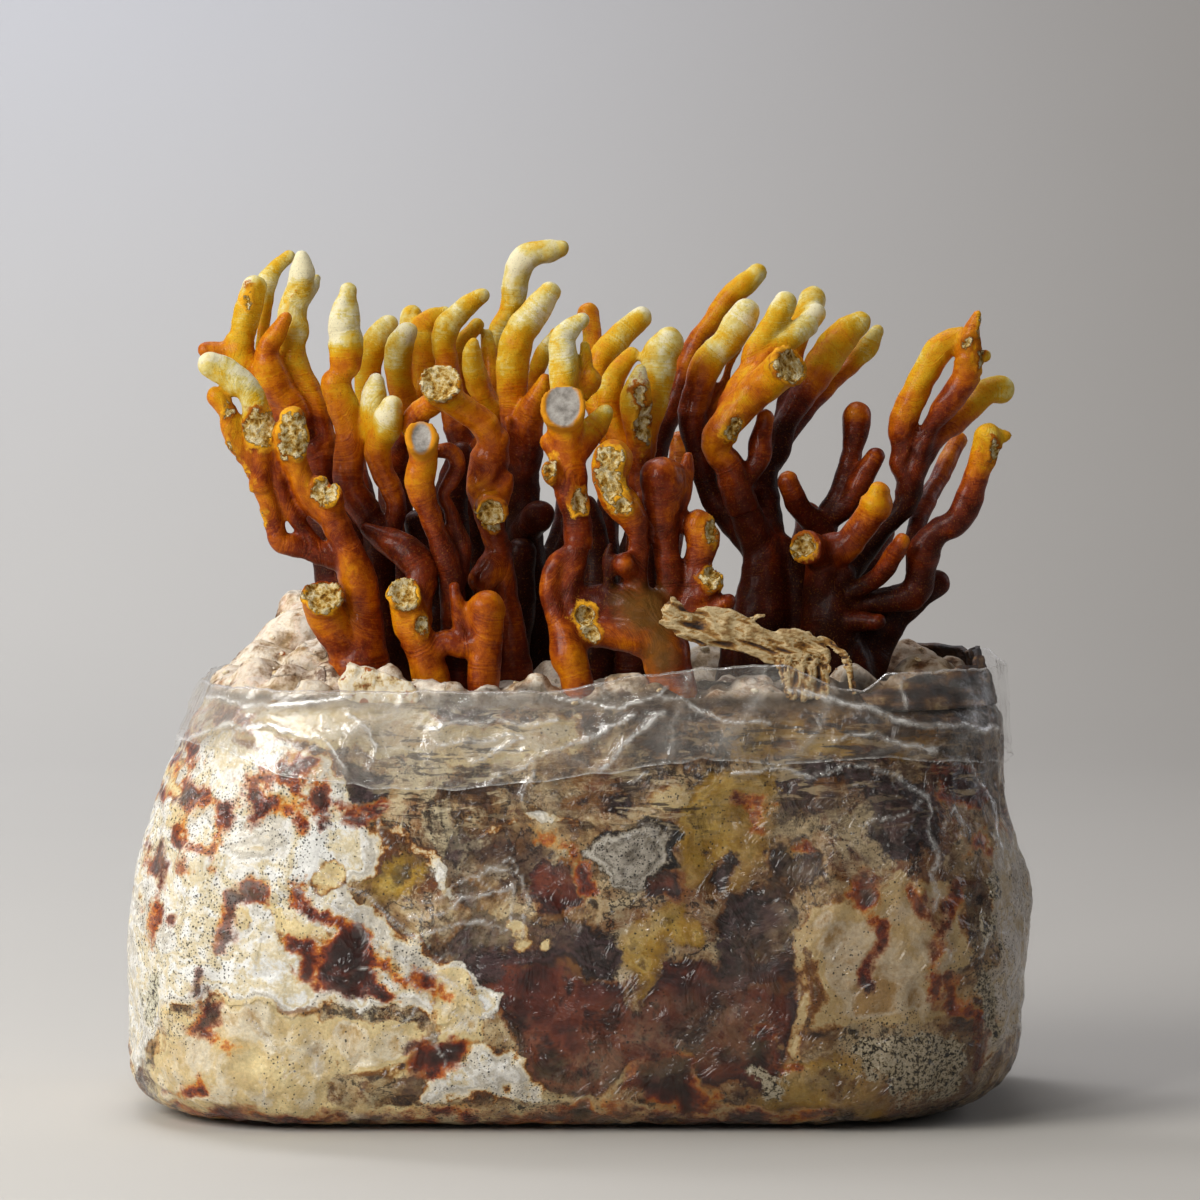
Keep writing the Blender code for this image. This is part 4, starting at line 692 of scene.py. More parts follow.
# a Geometry Nodes tree with named inputs, the sockets they come from, and their identifiers
def newTree(name, **inputs):
    tree = bpy.data.node_groups.new(name, "GeometryNodeTree")
    identifiers = {}
    for label, kind in inputs.items():
        socket = tree.interface.new_socket(label, in_out="INPUT", socket_type="NodeSocket" + kind)
        identifiers[label] = socket.identifier
    tree.interface.new_socket("Geometry", in_out="OUTPUT", socket_type="NodeSocketGeometry")
    add = partial(addNode, tree)
    return tree, add, add("NodeGroupInput").outputs, identifiers


# how both trees end: real faces in the given finish
def endTree(add, made, finish):
    solid = add("GeometryNodeRealizeInstances", made)
    add("NodeGroupOutput", add("GeometryNodeSetMaterial", solid, {"Material": finish}))


# the plain mesh that a tree makes from these inputs
def treeMesh(name, tree, identifiers, inputs):
    host = newObject(name + "Host", bpy.data.meshes.new(name + "Host"))
    modifier = host.modifiers.new(tree.name, "NODES")
    modifier.node_group = tree
    for label, value in inputs.items():
        modifier[identifiers[label]] = value
    mesh = evaluatedMesh(host)
    bpy.data.objects.remove(host)
    return mesh


# tubes along the paths, with a ball on each round tip, which the paths mark with a tilt of 1
def tubeTree():
    tree, add, given, identifiers = newTree(
        "fingerTubes", Paths="Object", Sides="Int", BallDetail="Int", Finish="Material")
    paths = add("GeometryNodeObjectInfo", given["Paths"], transform_space="RELATIVE").outputs["Geometry"]
    ring = add("GeometryNodeCurvePrimitiveCircle", {"Resolution": given["Sides"], "Radius": mm})
    size = add("GeometryNodeInputRadius")
    tubes = add("GeometryNodeCurveToMesh", paths, ring, size, True)
    lastPoint = add("GeometryNodeCurveEndpointSelection", 0, 1)
    marked = add("FunctionNodeCompare GREATER_THAN", add("GeometryNodeInputCurveTilt"), 0.5)
    both = add("FunctionNodeBooleanMath AND", lastPoint, marked)
    ball = add("GeometryNodeMeshIcoSphere", mm, given["BallDetail"])
    tips = add("GeometryNodeInstanceOnPoints", paths, both, ball, {"Scale": size})
    joined = add("GeometryNodeJoinGeometry", tubes)
    endTree(add, feed(joined, {0: tips}), given["Finish"])
    return tree, identifiers


# fingers start a little further back, so that they are well inside what they grow from
def rooted(places):
    first = places[0] - places[1]
    return np.concatenate([[places[0] + first / np.linalg.norm(first) * antlerSettings["root"]], places[1:]])


def pathObject(name, fingers, gain):
    curve = bpy.data.curves.new(name, "CURVE")
    curve.dimensions = "3D"
    curve.resolution_u = antlerSettings["stepsPerPoint"]
    for finger in fingers:
        places, radii = fingerPlaces(finger, gain)
        places = rooted(places)
        spline = curve.splines.new("BEZIER")
        spline.bezier_points.add(len(places) - 1)
        for knot, place, radius in zip(spline.bezier_points, places, radii):
            knot.co = Vector(place) * mm
            knot.radius = radius
            knot.handle_left_type = "AUTO"
            knot.handle_right_type = "AUTO"
        if finger[-1] != cutTip:
            spline.bezier_points[-1].tilt = 1
    paths = bpy.data.objects.new(name, curve)
    bpy.context.scene.collection.objects.link(paths)
    return paths


def tubesMesh(name, fingers, gain, finish):
    paths = pathObject(name + "Paths", fingers, gain)
    mesh = treeMesh(name, fingerTree, fingerInputs, {
        "Paths": paths, "Sides": antlerSettings["sides"], "BallDetail": antlerSettings["ballDetail"],
        "Finish": finish})
    bpy.data.objects.remove(paths)
    return mesh


# age and length along the fingers at each point, blended where fingers grow out of each other
def fingerFields(points, fingers, gain):
    weights = np.full(len(points), 1e-9)
    ages, lengths = np.zeros(len(points)), np.zeros(len(points))
    blend, step, batch = (antlerSettings[name] for name in ("blend", "ageStep", "batch"))
    for finger in fingers:
        places, radii = fingerPlaces(finger, gain)
        along = lengthsAlong(places)
        steps = np.linspace(0, along[-1], int(along[-1] / step) + 2)
        centres = np.stack([np.interp(steps, along, places[:, axis]) for axis in range(3)], axis=1)
        thick = np.interp(steps, along, radii)
        fingerAges = np.interp(steps / along[-1], np.linspace(0, 1, len(finger[2])), finger[2])
        reach = radii.max() + antlerSettings["near"]
        inBox = (points > places.min(0) - reach) & (points < places.max(0) + reach)
        near = np.flatnonzero(np.all(inBox, axis=1))
        for chosen in np.split(near, range(batch, len(near), batch)):
            away = np.linalg.norm(points[chosen, None] - centres[None], axis=2) - thick[None]
            best = away.argmin(axis=1)
            weight = np.exp(-np.clip(away[np.arange(len(chosen)), best], -2, 12) / blend)
            weights[chosen] += weight
            ages[chosen] += weight * fingerAges[best]
            lengths[chosen] += weight * steps[best]
    return ages / weights, lengths / weights


# how deep inside a scar's ellipse each point lies, in millimetres, on the side that faces front
def scarDepth(across, height, depth, normals, scar):
    inside = ellipseDepth(across, height, scar)
    facing = (normals[:, 1] < -0.1) & (inside > -3)
    if facing.any():
        facing &= depth < depth[facing].min() + scarSettings["reach"]
    return np.where(facing, inside, -9)


# lacquered young-to-old reishi skin: cream tips, through yellow and orange, to oxblood stems
def antlerMaterial(name, warmth):
    material, shader, add = newMaterial(name)
    place = add("TexCoord").outputs["Object"]
    age, along, torn, disc, bruise = (add("Attribute", attribute_name=field).outputs["Fac"]
                                      for field in ("age", "ring", "torn", "disc", "bruise"))
    # blotches 6 mm across shift the age, 1 mm mottling breaks its edges, and in growth bands the tone
    # steps a little every 2 to 3 mm along a finger
    blotch = add("TexNoise", place, 160.0, 3.0)
    mottle = add("TexNoise", place, 900.0, 4.0)
    bands = add("TexNoise", along, 190.0, 3.0, noise_dimensions="1D")
    older = age
    for source, low, high, shift in (
            (blotch, 0.25, 0.75, 0.15), (mottle, 0.25, 0.75, 0.05), (bands, 0.3, 0.7, 0.035)):
        older = add("Math ADD", older, add("MapRange", source, low, high, -shift, shift))
    older = add("Math ADD", older, warmth, use_clamp=True)
    # spore dust: pale ochre grains under half a millimetre, with dark pits between them
    grains = add("TexNoise", place, 2600.0, 2.0)
    dusty = add("MapRange", grains, 0.56, 0.74, 0.0, 0.18)
    pits = add("MapRange", grains, 0.28, 0.42, 0.35, 0.0)
    # olive bruises with ragged edges
    bruised = add("MapRange", add("Math MULTIPLY_ADD", blotch, 0.9, bruise), 0.66, 1.15, 0.0, 0.75)
    # torn places: crumbling corky flesh with dark pores and a yellow lip
    crumble = add("TexNoise", place, 520.0, 5.0, 0.7)
    flesh = add("Math MULTIPLY_ADD", crumble, 1.25, -0.2)
    flesh = add("Math MULTIPLY_ADD", add("TexVoronoi", place, 950.0), 0.22, flesh)
    tornEdge = add("Math MULTIPLY_ADD", crumble, 0.5, torn)
    lipMask = add("MapRange", tornEdge, 0.66, 0.74)
    fleshMask = add("MapRange", tornEdge, 0.79, 0.83)
    lipTone = add("Mix RGBA", add("MapRange", blotch, 0.42, 0.56), fromHex("#a35a10"), fromHex("#dfa024"))
    # clean cuts: a dry grey disc with a fine grain inside an orange rim
    discEdge = add("Math MULTIPLY_ADD", crumble, 0.06, disc)
    rimMask = add("MapRange", discEdge, 0.43, 0.49)
    coreMask = add("MapRange", discEdge, 0.62, 0.68)
    skin = fillRamp(add("ValToRGB", older), skinTones)
    for share, tone in (
            (dusty, fromHex("#cf8a30")), (pits, fromHex("#4a1c08")), (bruised, fromHex("#65491a")),
            (lipMask, lipTone), (fleshMask, fillRamp(add("ValToRGB", flesh), fleshTones)),
            (rimMask, fromHex("#c8841c")), (coreMask, fillRamp(add("ValToRGB", crumble), discTones))):
        skin = add("Mix RGBA", share, skin, tone)
    # relief: growth rings, mottling, and crumbs in the torn places
    rough = add("Math MULTIPLY_ADD", mottle, 0.5, bands)
    rough = add("Math MULTIPLY_ADD", grains, 0.25, rough)
    relief = add("Bump", {"Height": rough, "Strength": 0.55, "Distance": 0.00035})
    relief = add("Bump", {"Height": add("Math MULTIPLY", flesh, fleshMask), "Normal": relief,
                          "Strength": 1.0, "Distance": 0.0014})
    # pale tips and torn flesh are dull, older skin is lacquered, and the oldest has lost its shine
    opened = add("Math MAXIMUM", lipMask, rimMask)
    gloss = add("MapRange", older, 0.1, 0.5, 0.66, 0.46)
    gloss = add("Math MULTIPLY_ADD", opened, 0.4, gloss, use_clamp=True)
    lacquer = add("MapRange", older, 0.2, 0.6, 0.05, 0.24)
    lacquer = add("Math MULTIPLY", lacquer, add("Math SUBTRACT", 1.0, opened))
    lacquer = add("Math MULTIPLY", lacquer, add("MapRange", older, 0.66, 0.85, 1.0, 0.15))
    feed(shader, {"Base Color": skin, "Normal": relief, "Roughness": gloss, "Coat Weight": lacquer,
                  "Coat Roughness": 0.2, "IOR": 1.45, "Specular IOR Level": 0.12})
    return material


def addAntler(name, fingers, material):
    gain = antlerSettings["gain"]
    mesh = tubesMesh(name, fingers, gain, material)
    mesh = meltedMesh(name, mesh, antlerSettings["voxel"], antlerSettings["smoothing"])
    points, normals = pointsOf(mesh), normalsOf(mesh)
    ages, lengths = fingerFields(points, fingers, gain)
    ringPlaces = np.stack([lengths, points[:, 0] * 0.12, points[:, 2] * 0.12], axis=1)
    # the forms also shift the age: lighter crowns and darker hollows, painted light and shade
    out, paintedLightAndShade = np.zeros(len(points)), np.zeros(len(points))
    for lengthwise, rise, size, shift, lightAndShade in antlerSettings["forms"]:
        form = noiseAt(ringPlaces if lengthwise else points, size, shift)
        out += rise * form
        paintedLightAndShade += lightAndShade * form
    ages -= paintedLightAndShade
    # older at the foot, partly real age and partly painted shade; painted shade half way up where the stems
    # crowd, and at the back
    rear = smoothStep(-48, -22, points[:, 1])
    ages += antlerSettings["olderAndShadedLow"] * (1 - smoothStep(112, 150, points[:, 2])) * (0.8 * rear + 0.2)
    across, height = seenPlace(points)
    waist = smoothStep(108, 128, height) * (1 - smoothStep(138, 166, height))
    waist = waist * (1 - smoothStep(15, 35, across))
    ages += antlerSettings["shadedWaist"] * waist
    deep = smoothStep(-35, 20, points[:, 1]) * (1 - smoothStep(150, 185, height))
    ages += antlerSettings["shadedBack"] * deep * (1 - 0.7 * smoothStep(20, 40, across))
    torn, disc = np.full(len(points), -9.0), np.full(len(points), -9.0)
    for found, scars in ((torn, tornScars), (disc, discScars)):
        for scar in scars.get(name, ()):
            np.maximum(found, scarDepth(across, height, points[:, 1], normals, scar), out=found)
    bruise = np.zeros(len(points))
    for place in oliveBruises.get(name, ()):
        bruise = np.maximum(bruise, ellipseDepth(across, height, place) / min(place[2:]))
    ragged = 1 + 0.5 * noiseAt(points, 1.6, 3.0)
    torn += np.where(torn > -4, 0.9 * noiseAt(points, 2.7, 5.0, 2), 0)
    lip = np.exp(-((torn - 0.1) / 0.6) ** 2) + np.exp(-((disc - 0.3) / 0.6) ** 2)
    out += scarSettings["lip"] * lip * ragged
    out -= scarSettings["cup"] * smoothStep(0.5, 1.8, torn) * ragged
    out -= scarSettings["dish"] * smoothStep(0.6, 1.6, disc)
    movePoints(mesh, points + normals * out[:, None])
    storeField(mesh, "age", ages)
    storeField(mesh, "ring", lengths / 100)
    storeField(mesh, "torn", 0.5 + torn / scarSettings["field"])
    storeField(mesh, "disc", 0.5 + disc / scarSettings["field"])
    storeField(mesh, "bruise", bruise)
    antler = newObject(pieceName(name), mesh, material)
    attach(antler, "root")
    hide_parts(name)
    return antler


fingerTree, fingerInputs = tubeTree()
skins = {slotName: antlerMaterial(name, warmth) for slotName, (name, warmth) in finishes.items()}
slotOf = {part["node"]: part["material_slot"] for part in frame["record"]["subparts"]}


def pieceName(node):
    first, *others = node.split("_")
    return first + "".join(word.capitalize() for word in others)


for node, fingers in antlerFingers.items():
    addAntler(node, fingers, skins[slotOf[node]])
print("antlers are grown:", len(antlerFingers))


# the bag's wall, shared by the block and the film
wallSettings = {
    # outer half sizes by height
    "left": ((0, 99), (6, 103), (14, 105), (47, 103.5), (62, 101), (75, 96), (86, 91), (96, 87), (108, 83)),
    "right": ((0, 91), (3, 95.5), (8, 100), (16, 103), (40, 105), (56, 104), (70, 99.5), (80, 98),
              (96, 98.5), (108, 97.5)),
    "depth": ((0, 57), (6, 61), (14, 63), (45, 65), (75, 63.5), (90, 62), (108, 60)),
    "corner": 40,
    "crowding": 2.6,        # how much closer together the columns stand at the front
    "foot": ((0, 7), (0.6, 4.9), (1.6, 3), (3.2, 1.8), (6, 0.8), (9.5, 0.2), (14, 0)),
    "rimFront": ((-90, 100), (-4, 100), (10, 103), (29, 105), (47, 106), (57, 101), (64, 100), (70, 104),
                 (100, 104)),
    "rimBack": ((-90, 100), (-40, 98), (10, 99), (60, 101), (100, 104)),
    "hemFront": ((-90, 88), (-73, 86), (-58, 80), (-30, 78), (-4, 80), (29, 85), (45, 83), (68, 85),
                 (100, 82)),
    "hemBack": ((-90, 86), (-30, 80), (30, 84), (100, 82)),
    "dentDepth": 1.5,
    "dentLength": 34,
    "ripple": 0.9,
    # from (across, height), to (across, height), half width, depth
    "folds": (((-64, 52), (-18, 18), 7, 1.3), ((84, 88), (90, 30), 5, 1.4), ((96, 84), (97, 40), 4, 1.0),
              ((-30, 74), (70, 78), 4, 0.8), ((56, 80), (53, 12), 4, 1.1), ((90, 90), (96, 20), 3.5, 1.5),
              ((72, 74), (80, 40), 4, 1.2), ((-96, 84), (-86, 62), 4, 1.4), ((-84, 60), (-92, 24), 5, 1.2)),
}


# points round the bag at a height, closer together at the front
def ringAt(height, inset, count):
    left = readAt(wallSettings["left"], height) - inset
    right = readAt(wallSettings["right"], height) - inset
    depth = readAt(wallSettings["depth"], height) - inset
    corner = wallSettings["corner"] - inset
    dense = []
    for side, end, start in ((1, -1, -90), (1, 1, 0), (-1, 1, 90), (-1, -1, 180)):
        reach = right if side > 0 else left
        for angle in np.radians(np.linspace(start, start + 90, 33)):
            dense.append((side * (reach - corner) + corner * math.cos(angle),
                          end * (depth - corner) + corner * math.sin(angle)))
    dense = np.array(dense + dense[:1])
    lengths = np.linalg.norm(np.diff(dense, axis=0), axis=1)
    lengths = lengths * np.where(dense[1:, 1] < -0.4 * depth, wallSettings["crowding"], 1)
    along = np.concatenate([[0], np.cumsum(lengths)])
    wanted = np.linspace(0, along[-1], count, endpoint=False)
    return np.stack([np.interp(wanted, along, dense[:, axis]) for axis in (0, 1)], axis=1)


def awayFromLine(places, first, second):
    first, run = np.array(first, float), np.subtract(second, first)
    share = np.clip(((places - first) @ run) / (run @ run), 0, 1)
    return np.linalg.norm(places - first - share[:, None] * run, axis=1)


def awayFromPath(places, path):
    return np.min([awayFromLine(places, first, second) for first, second in zip(path, path[1:])], axis=0)


# how far the wall stands out from its plain shape
def dentAt(points):
    out = wallSettings["dentDepth"] * noiseAt(points, wallSettings["dentLength"])
    places = points[:, [0, 2]]
    for first, second, halfWidth, depth in wallSettings["folds"]:
        away = awayFromLine(places, first, second)
        out += np.where(points[:, 1] < 0, depth * np.exp(-(away / halfWidth) ** 2), 0)
    out += wallSettings["ripple"] * noiseAt(points, 15.0, 90.0, 2)
    return out * smoothStep(3, 18, points[:, 2])


# the wall at one height per column, and its outward directions
def wallRow(heights, insets, count):
    heights, insets = np.broadcast_to(heights, count), np.broadcast_to(insets, count)
    flat = ringAt(float(heights.mean()), 0.0, count)
    if np.ptp(heights) > 0.01:
        low, high = float(heights.min()), float(heights.max())
        share = ((heights - low) / (high - low))[:, None]
        flat = ringAt(low, 0.0, count) * (1 - share) + ringAt(high, 0.0, count) * share
    run = np.roll(flat, -1, axis=0) - np.roll(flat, 1, axis=0)
    outward = np.stack([run[:, 1], -run[:, 0], np.zeros(count)], axis=1)
    outward /= np.linalg.norm(outward, axis=1)[:, None]
    points = np.concatenate([flat, heights[:, None]], axis=1)
    return points + outward * (dentAt(points) - insets)[:, None], outward


def edgeHeights(front, back, count):
    ring = ringAt(100, 0.0, count)
    share = smoothStep(-40, 40, ring[:, 1])
    return readAt(front, ring[:, 0]) * (1 - share) + readAt(back, ring[:, 0]) * share


# the block
blockSettings = {
    "inset": 0.75,          # under the film's outer face, mm
    "columns": 240,         # points round it, and the heights of its rows
    "voxel": 1.2,
    "smoothing": 2,
    # relief above the film and dents below its edge: height and size in mm, the noise's shift and octaves
    "pebbles": ((1.5, 7.0, 3.0, 2), (0.6, 2.6, 9.0, 1)),
    "dents": (-1.3, 8.0, 13.0, 2),
    "crustRise": 0.35,      # how far grey crust stands out, mm
    "warp": 3.2,            # how far the patches' edges wander, mm
    "fieldReach": 6.0,      # a field runs from 0 to 1 over this distance each side of an edge, mm
    "rows": (0, 1, 2.5, 4.5, 7, 10, 14, 20, 26, 32, 38, 44, 50, 56, 62, 68, 73, 79, 84, 88, 92),
    "shoulder": ((3, 96), (9, 98), (22, 98.5), (40, 98.5)),
    # hollows in the top painted dark as shade: x, y, and how far from there it is dark, and clear again
    "hollows": ((37, -36, 8, 14), (62.5, -50, 4, 8)),
}
# mounds and nodules that stand out of the top: x, y, z, radius
lumps = (
    (-72, -27, 96, 9), (-65, -39, 97, 7), (-73, 2, 98, 9.5), (-65, 16, 101, 13), (-64, 35, 109, 9),
    (-58, -6, 98, 11), (-55, -40, 98, 7), (-46, -47, 98, 5), (-42, -50, 100, 4.5), (-60, -51, 97, 4.5),
    (-34, -50, 98, 4.5), (-28, -54, 98, 3.5), (-20, -53, 99, 3), (-10, -50, 99.5, 4), (11, -46, 99, 4.5),
    (-44, 12, 97, 10), (-22, 8, 96, 10), (4, 14, 95, 11), (32, 10, 96, 10), (62, -4, 96, 9),
    (40, -44, 97, 5.5), (32, -52, 96, 4.5), (56, -50, 97, 5), (62, -40, 99, 6), (76, -34, 97, 6),
    (82, -6, 96, 9), (78, 24, 97, 9), (52, 30, 96, 10), (18, 38, 96, 10), (-14, 38, 97, 10),
    (-42, 40, 98, 10), (88, 8, 97, 6), (72, 44, 97, 7), (-30, -28, 97, 7), (-4, -24, 96, 8),
    (-79, -24, 94.5, 6.5), (-80, -8, 95.5, 6.5), (-79.5, 8, 95.5, 6.5), (-75, -36, 95, 6), (-78, 22, 96, 6.5),
)

